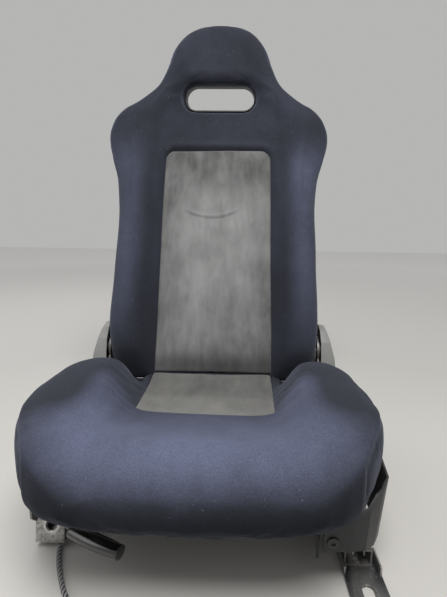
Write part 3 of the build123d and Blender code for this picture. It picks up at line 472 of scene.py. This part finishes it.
def inflate(obj):
    """Lets the cover swell under pressure as cloth, and holds each point within the cap."""
    before = points_of(obj)
    cloth = obj.modifiers.new("cloth", "CLOTH")
    cloth.settings.quality = 5
    cloth.settings.mass = 0.3
    cloth.settings.tension_stiffness = cloth.settings.compression_stiffness = 25.0
    cloth.settings.bending_stiffness = 0.6
    cloth.settings.use_pressure = True
    cloth.settings.uniform_pressure_force = CLOTH_PRESSURE
    cloth.settings.effector_weights.gravity = 0.0
    cloth.point_cache.frame_start = 1
    cloth.point_cache.frame_end = CLOTH_FRAMES
    for frame_number in range(1, CLOTH_FRAMES + 1):
        bpy.context.scene.frame_set(frame_number)
    evaluated = obj.evaluated_get(bpy.context.evaluated_depsgraph_get())
    after = np.array([tuple(v.co) for v in evaluated.data.vertices])
    obj.modifiers.remove(cloth)
    bpy.context.scene.frame_set(1)
    move = after - before
    far = np.linalg.norm(move, axis=1)
    set_points(obj, before + move * np.minimum(1.0, CLOTH_CAP / np.maximum(far, 1e-9))[:, None])


# --- Harness lead ---------------------------------------------------------------------------------
# The control points of the route from the rail to the plug, in mm, and the lead's radius in metres.
LEAD_ROUTE = [(-208.5, -232, 13), (-211, -252, 8), (-214, -272, 4.2), (-204, -303, 4), (-187, -337, 4),
              (-167, -370, 4), (-133, -396, 4), (-88, -402, 4), (-42, -410, 4)]
LEAD_R = 0.00375
# How far the lead runs in one turn of its grey yarns, and of the yarns that cross them, in metres.
YARN_PITCH, CROSS_PITCH = 0.0082, 0.006


def nurbs_points(route, name):
    """The points of the smooth line that a route's NURBS spline draws."""
    data = bpy.data.curves.new(name, "CURVE")
    data.dimensions = "3D"
    data.resolution_u = 40
    spline = data.splines.new("NURBS")
    spline.points.add(len(route) - 1)
    for point, place in zip(spline.points, route):
        point.co = (*(v * MM for v in place), 1.0)
    spline.order_u = 3
    spline.use_endpoint_u = True
    holder = bpy.data.objects.new(name, data)
    bpy.context.scene.collection.objects.link(holder)
    line = bpy.data.meshes.new_from_object(holder.evaluated_get(bpy.context.evaluated_depsgraph_get()))
    points = np.array([tuple(v.co) for v in line.vertices])
    bpy.data.objects.remove(holder)
    return points


def along(points, spacing):
    """The same line with points evenly spaced."""
    legs = np.linalg.norm(np.diff(points, axis=0), axis=1)
    run = np.concatenate([[0.0], np.cumsum(legs)])
    at = np.linspace(0.0, run[-1], int(run[-1] / spacing) + 1)
    return np.stack([np.interp(at, run, points[:, k]) for k in range(3)], 1), run[-1]


def braided_lead():
    """The lead's mesh with its braid, some points along its middle, and its length."""
    line, length = along(nurbs_points(LEAD_ROUTE, "lead_line"), 0.0009)
    tangent = np.gradient(line, axis=0)
    tangent /= np.linalg.norm(tangent, axis=1)[:, None]
    side = np.cross(tangent, (0.0, 0.0, 1.0))
    side /= np.linalg.norm(side, axis=1)[:, None]
    over = np.cross(side, tangent)
    around = 28
    angle = np.arange(around) / around * 2 * math.pi
    run = np.arange(len(line)) / (len(line) - 1) * length
    one = np.sin(angle[None, :] * 3 + run[:, None] * 2 * math.pi / YARN_PITCH)
    other = np.sin(angle[None, :] * 4 - run[:, None] * 2 * math.pi / CROSS_PITCH)
    height = np.maximum(one, other * 0.7)
    radius = LEAD_R * (0.945 + 0.05 * height)
    sideways = np.cos(angle)[None, :, None] * side[:, None, :]
    upwards = np.sin(angle)[None, :, None] * over[:, None, :]
    rings = line[:, None, :] + radius[:, :, None] * (sideways + upwards)
    made = tube("braided_lead", rings, braid)
    yarn = np.concatenate([(0.5 + 0.5 * one + 0.12 * other).ravel(), [0.5, 0.5]])
    float_attribute(made, "yarn", yarn)
    return made, line[::6], length


lead, lead_path, lead_length = braided_lead()
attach(lead, "floor_rails")
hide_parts("harness_lead")

# --- Seat cushion ---------------------------------------------------------------------------------
# From front to back: y, centre height, crest height, half width, channel half width, underside height.
CUSHION_STATIONS = np.array([
    (-420, 182, 184, 162, 90, 148),
    (-408, 206, 208, 190, 100, 132),
    (-384, 221, 226, 216, 108, 118),
    (-352, 224, 234, 234, 110, 117),
    (-340, 222, 237, 240, 112, 120),
    (-300, 212, 244, 258, 112, 120),
    (-270, 203, 248, 265, 112, 120),
    (-220, 190, 250, 267, 112, 120),
    (-150, 176, 250, 262, 114, 120),
    (-80, 168, 240, 254, 118, 120),
    (-20, 166, 216, 242, 124, 120),
    (14, 167, 190, 226, 128, 120),
    (34, 167, 169, 222, 130, 120),
    (72, 160, 160, 214, 130, 124),
], float)


def mirrored(half_section):
    """The half section's points, then the same points mirrored and in reverse, for a closed outline."""
    return half_section + [(-a, b) for a, b in reversed(half_section)]


def cushion_ring(y):
    """The outline of the cushion's section at y, in mm."""
    at = CUSHION_STATIONS[:, 0]
    floor, crest, half, channel, under = (monotone(at, CUSHION_STATIONS[:, k], y) for k in range(1, 6))
    half -= 3.5
    rise = crest - floor
    shoulder = min(150.0, (floor + under) / 2)
    sink = 26.0 * smoothstep(-76.0, 30.0, y) * (1.0 - 0.6 * smoothstep(34.0, 66.0, y))
    section = mirrored([
        (channel * 0.45, floor - 1.0),
        (channel + 1, floor + 0.5),
        (channel + 24, floor + 0.42 * rise - sink),
        (channel + 52, crest - 2.0 - 0.3 * sink),
        (half - 24, crest - 2.0 - 0.3 * sink),
        (half - 3, floor + 0.6 * rise - 0.3 * sink),
        (half + 1, max(shoulder + 8, (floor + under) / 2 + 12) - 0.3 * sink),
        (half - 5, shoulder + 6 - 0.3 * sink),
        (half - 26, under + 18 - 0.2 * sink),
        (half - 80, under + 5),
        (half * 0.25, under - 1.5),
    ])
    ring = closed_curve(section, 120, 0.8)
    return np.column_stack([ring[:, 0], np.full(len(ring), y), ring[:, 1]])


# The centre panel in plan: (y, half width) at its front and at its rear.
SEAT_PLAN = [(-168.0, 118.0), (66.0, 130.0)]
# The panels' edge rounding, the length over which they swell from their ends, and how deep they reach, in mm.
PANEL_EDGE, PANEL_RISE, PANEL_DEPTH = 7.0, 60.0, 8.1
# The depth of the pocket in the cover that a panel lies in, in metres.
POCKET = 0.0085


def seat_half_width(y):
    (y0, w0), (y1, w1) = SEAT_PLAN
    return w0 + (w1 - w0) * (y - y0) / (y1 - y0)


def seat_reach(x):
    """How far the panel's front edge lies ahead of its left corner at x: it bows, and slants to the right."""
    corner = SEAT_PLAN[0][1]
    return 14.0 * (1 - (x / corner) ** 2) + 8.0 * (1 + x / corner)


def seat_panel_distance(p):
    """Signed distance in mm to the centre panel's outline in plan; below 0 is inside."""
    x, y = p[:, 0] / MM, p[:, 1] / MM
    side = np.abs(x) - seat_half_width(y)
    (front_y, corner), (rear_y, _) = SEAT_PLAN
    front = front_y - seat_reach(np.clip(x, -corner, corner)) - y
    back = y - rear_y
    return np.maximum(np.maximum(side, front), back)


def make_cushion():
    stations = np.concatenate([np.linspace(-420, -380, 9), np.linspace(-372, 72, 56)])
    made = tube("cushion_cover", [cushion_ring(y) * MM for y in stations], navy)
    remesh(made, 0.0045)
    relax(made, 9)
    inflate(made)
    return made


cushion = make_cushion()
cushion_surface = BVHTree.FromObject(cushion, bpy.context.evaluated_depsgraph_get())


def shape_cushion():
    """Works the panel's pocket, the seams and the creases into the cushion's cover, paints light on its top
    through the wear attribute, and paints shade underneath and at the rear.
    """
    p, n = points_of(cushion), normals_of(cushion)
    top = smoothstep(0.2, 0.6, n[:, 2])
    d = seat_panel_distance(p)
    pocket = smoothstep(3.0, -4.0, d) * POCKET
    roll = np.exp(-((d - 9.0) / 7.0) ** 2) * 0.0012 * smoothstep(0.02, -0.06, p[:, 1])
    p[:, 2] += top * (roll - pocket)
    # the seam that joins the top panel to the side panel and turns down the front corner
    y = p[:, 1] / MM
    half = monotone(CUSHION_STATIONS[:, 0], CUSHION_STATIONS[:, 3], np.clip(y, -384, 72)) - 7.0
    off = np.abs(p[:, 0]) / MM - half
    upper = smoothstep(-0.75, -0.35, n[:, 2]) * smoothstep(60.0, 30.0, y)
    groove = np.exp(-((off / 2.6) ** 2)) * 0.0019
    welt = np.exp(-(((off + 7) / 4.5) ** 2)) * 0.0007
    p -= n * (upper * (groove - welt))[:, None]
    # soft unevenness of foam and cloth, and creases where the thigh bolsters rise
    p += n * (wander(p, 26.0, 3) * 0.0013 + wander(p, 70.0, 4) * 0.0005)[:, None]
    valley = np.exp(-(((np.abs(p[:, 0]) - 0.138) / 0.026) ** 2)) * smoothstep(-0.27, -0.19, p[:, 1]) * top
    ripple = np.sin((p[:, 1] * 0.9 + np.abs(p[:, 0]) * 1.1) * 190.0 + wander(p, 40.0, 6) * 2.8)
    p[:, 2] += valley * smoothstep(0.02, -0.06, p[:, 1]) * ripple * 0.0008
    set_points(cushion, p)
    # painted light: the wear attribute paints the up-facing top of the seat's front and crest lighter, as
    # light from above would, and keeps the bolsters darker
    x = np.abs(p[:, 0])
    height = p[:, 2] + 0.006 * wander(p, 25.0, 7) - 0.05 * smoothstep(0.11, 0.23, x)
    facing = smoothstep(-0.15, 0.85, n[:, 2] - 0.4 * n[:, 1])
    front = smoothstep(-0.12, -0.2, p[:, 1]) * smoothstep(0.156, 0.232, height)
    bolster = smoothstep(0.13, 0.2, x) * smoothstep(-0.36, -0.26, p[:, 1])
    worn = facing * front * (0.9 - 0.95 * bolster) - 0.12 * bolster
    worn += 0.1 * wander(p, 30.0, 5) * facing * front
    float_attribute(cushion, "wear", np.clip(worn, 0.0, 1.0))
    # painted shade: near black on the underside, and darker at the rear where the backrest overhangs the
    # cushion
    under = smoothstep(0.196, 0.128, height) * smoothstep(1.1, 0.3, n[:, 2])
    hidden = smoothstep(0.0, 0.05, p[:, 1]) * 0.65
    float_attribute(cushion, "shade", np.clip(np.maximum(under, hidden), 0.0, 1.0))


shape_cushion()


def panel(name, rows, half_width, surface_point, crown, material, columns):
    """A stuffed flat panel that lies on a cover.

    rows are the lengthwise places in mm, and half_width gives the half width at one. surface_point turns
    (across, lengthwise) into a point on the cover and the direction out of it.
    """
    first, last = rows[0], rows[-1]
    top, bottom = [], []
    for v in rows:
        w = half_width(v)
        for u in np.linspace(-1.0, 1.0, columns):
            x = u * w
            place, out = surface_point(x, v)
            inset = min(w - abs(x), v - first, last - v)
            past = 1.0 - min(inset, PANEL_EDGE) / PANEL_EDGE
            rounding = PANEL_EDGE * (1.0 - math.sqrt(max(0.0, 1.0 - past**2)))
            rise = min(1.0, (v - first) / PANEL_RISE, (last - v) / PANEL_RISE)
            swell = crown * (1.0 - (x / w) ** 2) * rise
            top.append(place + out * (swell - rounding) * MM)
            bottom.append(place - out * PANEL_DEPTH * MM)
    under = len(top)
    faces = []
    for i in range(len(rows) - 1):
        for j in range(columns - 1):
            a, b = i * columns + j, (i + 1) * columns + j
            faces.append((a, a + 1, b + 1, b))
            faces.append((under + a, under + b, under + b + 1, under + a + 1))
    for i in range(len(rows) - 1):
        for j in (0, columns - 1):
            a, b = i * columns + j, (i + 1) * columns + j
            faces.append((a, b, under + b, under + a))
    for j in range(columns - 1):
        for i in (0, len(rows) - 1):
            a, b = i * columns + j, i * columns + j + 1
            faces.append((a, under + a, under + b, b))
    made = add_mesh(name, top + bottom, faces, material)
    clean(made.data, merge=1e-6)
    made.data.shade_smooth()
    return made


def seat_point(x, y):
    """Where the cushion's top is under a place in plan, drawn out towards the panel's bowed front edge."""
    (front_y, corner), (rear_y, _) = SEAT_PLAN
    share = (rear_y - y) / (rear_y - front_y)
    y -= share**2 * seat_reach(max(-corner, min(corner, x)))
    hit, normal, _, _ = cushion_surface.ray_cast(Vector((x * MM, y * MM, 0.4)), Vector((0, 0, -1)))
    return hit, normal if normal.z > 0.5 else Vector((0, 0, 1))


seat_panel = panel("cushion_centre_panel", np.linspace(-168, 62, 110), lambda y: seat_half_width(y) - 1.0,
                   seat_point, 2.5, seat_suede, 80)


def shape_seat_panel():
    """Adds unevenness to the panel, marks its worn front band, and paints shade on its rear edge."""
    p, n = points_of(seat_panel), normals_of(seat_panel)
    p += n * (wander(p, 60.0, 11) * 0.0006)[:, None]
    set_points(seat_panel, p)
    band = smoothstep(-0.07, -0.1, p[:, 1] + 0.01 * wander(p, 22.0, 12))
    lip = smoothstep(-9.0, -2.0, seat_panel_distance(p)) * smoothstep(-0.12, -0.15, p[:, 1])
    float_attribute(seat_panel, "wear", np.clip(0.62 * band + 0.5 * lip + 0.2 * wander(p, 30.0, 13), -1, 1))
    # painted shade at the rear, where the backrest overhangs the panel
    float_attribute(seat_panel, "shade", np.clip(smoothstep(0.03, 0.066, p[:, 1]) * 0.6, 0, 1))


def hand_over(piece, body, node):
    """Puts a padded piece on its body in place of the plain solid."""
    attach(piece, body)
    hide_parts(node)


shape_seat_panel()
hand_over(cushion, "seat_base", "cushion_pad")
hand_over(seat_panel, "seat_base", "cushion_insert")

# --- Backrest -------------------------------------------------------------------------------------
# From bottom to top: height, half width, bolster depth, channel half width, rear face.
BACK_STATIONS = np.array([
    (-66, 206, 4, 128, 30),
    (-30, 219, 32, 130, 38),
    (0, 225, 50, 132, 38),
    (60, 230, 60, 132, 38),
    (180, 226, 58, 131, 38),
    (290, 224, 52, 130, 38),
    (380, 231, 44, 128, 38),
    (450, 249, 34, 127, 38),
    (505, 263, 26, 130, 38),
    (540, 255, 24, 130, 38),
    (570, 234, 22, 120, 38),
    (604, 190, 20, 96, 38),
    (640, 152, 20, 80, 38),
    (690, 129, 22, 64, 38),
    (735, 112, 20, 52, 38),
    (775, 84, 14, 40, 30),
    (803, 46, 2, 26, 10),
], float)
# The backrest is shaped upright about its pivot, and leaned back at the end.
LEAN = math.radians(18.0)
PIVOT = Vector((0.0, 0.150, 0.195))
BACK = Matrix.Translation(PIVOT) @ Matrix.Rotation(-LEAN, 4, "X")
# In the upright backrest, in mm: the front of the channel, and the head opening's height and half sizes.
BACK_FACE = -48.6
HOLE_Z, HOLE_W, HOLE_H = 612.0, 91.0, 33.0
# The angle at which the opening rises to the rear.
HOLE_RISE = math.radians(26.0)
# The centre panel's lower end, upper end and corner radius, in mm.
PANEL_LOW, PANEL_HIGH, PANEL_CORNER = -57.0, 473.0, 26.0


def back_ring(z):
    """The outline of the upright backrest's section at height z, in mm."""
    half, depth, channel, rear = (monotone(BACK_STATIONS[:, 0], BACK_STATIONS[:, k], z) for k in range(1, 5))
    half -= 2.5
    reach = half - channel
    front = BACK_FACE + 1.5
    bow = -9.0 * smoothstep(560, 660, z)
    middle_rear = 5.0 if z < 690 else rear
    section = mirrored([
        (channel * 0.5, front + bow),
        (channel, front + bow * 0.8),
        (channel + 0.3 * reach, front - 0.72 * depth),
        (channel + 0.62 * reach, front - depth),
        (half - 0.1 * reach, front - 0.82 * depth),
        (half + 1.5, front - 0.3 * depth),
        (half - 1, front + 20),
        (half - 6, rear - 14),
        (half - 14, rear),
        (half - 26, rear + 0.5),
        (half - 29, middle_rear),
        ((half - 29) * 0.4, middle_rear),
    ])
    ring = closed_curve(section, 150, 0.85)
    return np.column_stack([ring[:, 0], ring[:, 1], np.full(len(ring), z)])


def head_opening(grow, flare):
    """The bar that cuts the head opening. It climbs to the rear and flares at the front by flare."""
    rings = []
    for y, wide in ((-70, flare), (-22, flare), (-4, flare * 0.45), (16, flare * 0.1), (34, 0.0), (150, 0.0)):
        ring = []
        for side in (1, -1):
            for i in range(20):
                a = (i / 19 - 0.5) * math.pi
                r = HOLE_H + grow + wide
                ring.append((side * (HOLE_W - HOLE_H) + side * r * math.cos(a), y, side * r * math.sin(a)))
        rings.append(np.array(ring) * MM)
    made = tube("cutter", rings, navy)
    place = Matrix.Translation((0, BACK_FACE * MM, HOLE_Z * MM)) @ Matrix.Rotation(HOLE_RISE, 4, "X")
    made.data.transform(place)
    return made


def make_back():
    heights = np.concatenate([np.linspace(-73, -30, 7), np.linspace(-20, 770, 110), np.linspace(776, 801, 6)])
    made = tube("back_cover", [back_ring(z) * MM for z in heights], navy)
    cutter = head_opening(1.0, 9.0)
    cut = made.modifiers.new("hole", "BOOLEAN")
    cut.operation = "DIFFERENCE"
    cut.object = cutter
    cut.solver = "EXACT"
    apply_modifiers(made)
    bpy.data.objects.remove(cutter)
    remesh(made, 0.005)
    relax(made, 8)
    inflate(made)
    return made


back_cover = make_back()


def smooth_crown():
    """Evens out the cloth over the crown of the head."""
    p = points_of(back_cover)
    ends = np.empty(len(back_cover.data.edges) * 2, dtype=np.int32)
    back_cover.data.edges.foreach_get("vertices", ends)
    ends = ends.reshape(-1, 2)
    count = np.maximum(np.bincount(ends.ravel(), minlength=len(p)), 1)[:, None]
    weight = smoothstep(0.715, 0.765, p[:, 2])[:, None]
    for _ in range(30):
        total = np.zeros_like(p)
        np.add.at(total, ends[:, 0], p[ends[:, 1]])
        np.add.at(total, ends[:, 1], p[ends[:, 0]])
        p += weight * 0.5 * (total / count - p)
    p[:, 2] += weight[:, 0] * 0.005
    set_points(back_cover, p)


smooth_crown()
back_surface = BVHTree.FromObject(back_cover, bpy.context.evaluated_depsgraph_get())


def back_panel_base(z):
    """The centre panel's half width at height z, in mm, before its corners are rounded."""
    return 132.0 - 6.0 * (z - PANEL_LOW) / (PANEL_HIGH - PANEL_LOW)


def back_panel_half(z):
    base = back_panel_base(z)
    short = max(0.0, z - (PANEL_HIGH - PANEL_CORNER))
    return base - PANEL_CORNER + math.sqrt(max(0.0, PANEL_CORNER**2 - short**2))


def back_panel_distance(p):
    """Signed distance in mm to the centre panel's outline from the front; below 0 is inside."""
    x, z = np.abs(p[:, 0] / MM), p[:, 2] / MM
    side, top, low = x - back_panel_base(z), z - PANEL_HIGH, PANEL_LOW - z
    corner = np.hypot(np.maximum(side + PANEL_CORNER, 0), np.maximum(top + PANEL_CORNER, 0)) - PANEL_CORNER
    both = (side > -PANEL_CORNER) & (top > -PANEL_CORNER)
    return np.maximum(np.where(both, corner, np.maximum(side, top)), low)


def shape_back():
    """Works the panel's pocket, soft unevenness and wear into the back's cover, and paints shade in and round
    the head opening and low on the bolsters.
    """
    p, n = points_of(back_cover), normals_of(back_cover)
    front = smoothstep(0.15, 0.6, -n[:, 1]) * (p[:, 1] < -0.02)
    d = back_panel_distance(p)
    pocket = smoothstep(3.0, -4.0, d) * POCKET
    roll = np.exp(-((d - 9.0) / 7.0) ** 2) * 0.0018
    collar = np.exp(-((d - 10.0) / 9.0) ** 2) * smoothstep(0.455, 0.485, p[:, 2]) * 0.004
    p[:, 1] += front * (pocket - roll - collar)
    p += n * (wander(p, 22.0, 21) * 0.0011 + wander(p, 64.0, 22) * 0.0004)[:, None]
    set_points(back_cover, p)
    x, z = np.abs(p[:, 0]), p[:, 2]
    facing = smoothstep(0.3, 0.9, -n[:, 1])
    bolster = smoothstep(0.15, 0.2, x) * smoothstep(0.52, 0.4, z)
    worn = facing * bolster * (0.34 + 0.14 * wander(p, 14.0, 23)) * smoothstep(-0.05, 0.2, z) + 0.05
    edge = smoothstep(0.86, 0.55, np.abs(n[:, 1])) * smoothstep(0.3, -0.2, n[:, 1])
    worn += edge * 0.16 * smoothstep(0.3, 0.5, z) + 0.05 * wander(p, 26.0, 24)
    float_attribute(back_cover, "wear", np.clip(worn, 0.0, 1.0))
    # painted shade: dark inside the head opening, in a band round it that is strongest above, and low on the
    # bolsters where they meet the cushion
    middle = HOLE_Z * MM + (p[:, 1] - BACK_FACE * MM) * math.tan(HOLE_RISE)
    opening = np.hypot(np.maximum(x - (HOLE_W - HOLE_H) * MM, 0.0), z - middle)
    inside = smoothstep(0.046, 0.036, opening) * smoothstep(-0.05, -0.03, p[:, 1]) * 0.8
    brow = 0.22 + 0.4 * smoothstep(-0.01, 0.03, z - HOLE_Z * MM)
    brow = smoothstep(0.072, 0.036, opening) * brow * facing
    low = smoothstep(0.03, -0.05, z) * smoothstep(0.118, 0.138, x) * 0.35
    float_attribute(back_cover, "shade", np.clip(np.maximum(np.maximum(inside, low), brow), 0.0, 1.0))


shape_back()


def back_point(x, z):
    hit, normal, _, _ = back_surface.ray_cast(Vector((x * MM, -0.3, z * MM)), Vector((0, 1, 0)))
    return hit, normal if normal.y < -0.6 else Vector((0, -1, 0))


back_rows = np.concatenate([np.linspace(-55, 440, 204), np.linspace(442, 472, 30)])
back_panel = panel("back_centre_panel", back_rows, lambda z: back_panel_half(z) - 1.0,
                   back_point, 3.0, back_suede, 100)
# The crescent crease: the middle and height of its lowest point, in metres.
CREASE_X, CREASE_Z = -0.012, 0.303


def shape_back_panel():
    """Adds unevenness and the crescent crease, marks where the suede is worn, paints shade in the crease and
    a highlight on its ridge, and paints shade at its foot and round its rim.
    """
    p, n = points_of(back_panel), normals_of(back_panel)
    across = p[:, 0] - CREASE_X
    bow = CREASE_Z + 0.016 * (across / 0.06) ** 2
    span = smoothstep(0.074, 0.04, np.abs(across))
    crease = np.exp(-(((p[:, 2] - bow) / 0.0032) ** 2)) * span
    ridge = np.exp(-(((p[:, 2] - bow - 0.007) / 0.003) ** 2)) * span
    uneven = wander(p, 30.0, 31) * 0.0009 + wander(p, 90.0, 32) * 0.0003
    p += n * (uneven - crease * 0.0011 + ridge * 0.0005)[:, None]
    set_points(back_panel, p)
    x, z = p[:, 0], p[:, 2]
    middle = smoothstep(-0.02, 0.1, z) * smoothstep(0.43, 0.3, z) * smoothstep(0.13, 0.06, np.abs(x - 0.01))
    # lighter in the middle where the suede is worn, and darker towards the top
    rubbed_and_painted_light = 0.75 * middle + 0.25 * wander(p, 12.0, 33) - 0.45 * smoothstep(0.33, 0.46, z)
    # painted highlight on the crease's ridge and painted shade in the crease
    rubbed_and_painted_light += ridge * 0.3 - crease * 0.8
    float_attribute(back_panel, "wear", np.clip(rubbed_and_painted_light, -1, 1))
    # painted shade at the panel's foot and round its rim
    foot = smoothstep(0.0, -0.04, z + 0.006 * wander(p, 30.0, 34)) * 0.6 * smoothstep(-0.07, -0.045, z)
    rim = smoothstep(-3.5, -0.5, back_panel_distance(p)) * 0.35
    float_attribute(back_panel, "shade", np.clip(np.maximum(foot, rim), 0, 1))


shape_back_panel()
back_cover.data.transform(BACK)
back_panel.data.transform(BACK)
hand_over(back_cover, "backrest", "back_pad")
hand_over(back_panel, "backrest", "back_insert")

# --- Steel and plastic pieces ---------------------------------------------------------------------
# Edge radius of the pieces that show, in metres.
SOFT_EDGES = {
    "side_shield": 0.0015,
    "back_shell": 0.0012,
    "head_bezel": 0.0008,
    "recline_grip": 0.003,
    "slide_grip": 0.005,
    "right_recliner_cover": 0.006,
    "left_recliner_cover": 0.006,
    "left_front_foot": 0.0007,
    "right_front_foot": 0.0007,
    "left_rear_foot": 0.0006,
    "right_rear_foot": 0.0006,
    "right_side_frame": 0.0005,
    "left_side_frame": 0.0005,
    "recline_lever": 0.0007,
}
body_of = {name: body for body, names in frame["record"]["behaviour"]["bodies"].items() for name in names}
slot_of = {part["node"]: part["material_slot"] for part in frame["record"]["subparts"]}


def soften(name, width):
    """Puts a copy of a CAD piece, with its sharp edges rounded, in that piece's place."""
    source = nodes[name]
    fix = bmesh.new()
    fix.from_mesh(source.data)
    bmesh.ops.remove_doubles(fix, verts=fix.verts, dist=1e-5)
    bmesh.ops.dissolve_limit(fix, angle_limit=math.radians(1.0), verts=fix.verts, edges=fix.edges)
    mesh = bpy.data.meshes.new(name + "_soft")
    fix.to_mesh(mesh)
    fix.free()
    mesh.materials.clear()
    mesh.materials.append(worn_black_steel if name == "right_front_foot" else finish_of[slot_of[name]])
    made = bpy.data.objects.new(name + "_soft", mesh)
    bpy.context.scene.collection.objects.link(made)
    bevel = made.modifiers.new("bevel", "BEVEL")
    bevel.width = width
    bevel.segments = 3
    bevel.limit_method = "ANGLE"
    bevel.angle_limit = math.radians(25)
    apply_modifiers(made)
    made.data.set_sharp_from_angle(angle=math.radians(40))
    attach(made, body_of[name])
    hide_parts(name)


for name, width in SOFT_EDGES.items():
    soften(name, width)

# --- Floor and light ------------------------------------------------------------------------------
# The floor grows paler away from the seat, so that it meets the plain background softly.
floor_shader = Shader("pale_floor")
from_middle = floor_shader.node("ShaderNodeVectorMath", operation="LENGTH")
floor_shader.put(from_middle.inputs[0], floor_shader.where)
paler = floor_shader.math("SUBTRACT", from_middle.outputs["Value"], 0.9)
paler = floor_shader.math("MULTIPLY", paler, 0.3, clamp=True)
floor_colour = floor_shader.mix(paler, (0.5, 0.49, 0.47), (0.86, 0.85, 0.84))
floor_shader.set(Base_Color=floor_colour, Roughness=0.7)
corners = [(-6, -6, 0), (6, -6, 0), (6, 6, 0), (-6, 6, 0)]
floor = add_mesh("floor", corners, [(0, 1, 2, 3)], floor_shader.mat, smooth=False)


def area_light(name, place, target, size, power, colour=(1.0, 1.0, 1.0)):
    data = bpy.data.lights.new(name, "AREA")
    data.shape = "RECTANGLE"
    data.size, data.size_y = size
    data.energy = power
    data.color = colour
    made = bpy.data.objects.new(name, data)
    made.location = place
    made.rotation_euler = (Vector(target) - Vector(place)).to_track_quat("-Z", "Y").to_euler()
    bpy.context.scene.collection.objects.link(made)


area_light("ceiling", (0.2, -1.25, 2.3), (0, 0.0, 0.35), (1.3, 1.0), 62.0, (1.0, 0.985, 0.96))
area_light("rear_fill", (-0.9, 1.6, 2.0), (0, 0.0, 0.4), (1.4, 1.2), 12.0, (0.96, 0.98, 1.0))
area_light("side_fill", (-1.8, -0.9, 1.2), (0, 0.0, 0.4), (1.2, 1.2), 5.0)
world = bpy.data.worlds.new("studio")
world.use_nodes = True
world.node_tree.nodes["Background"].inputs["Color"].default_value = (0.93, 0.93, 0.92, 1.0)
world.node_tree.nodes["Background"].inputs["Strength"].default_value = 0.5
bpy.context.scene.world = world
bpy.context.scene.view_settings.view_transform = "Standard"
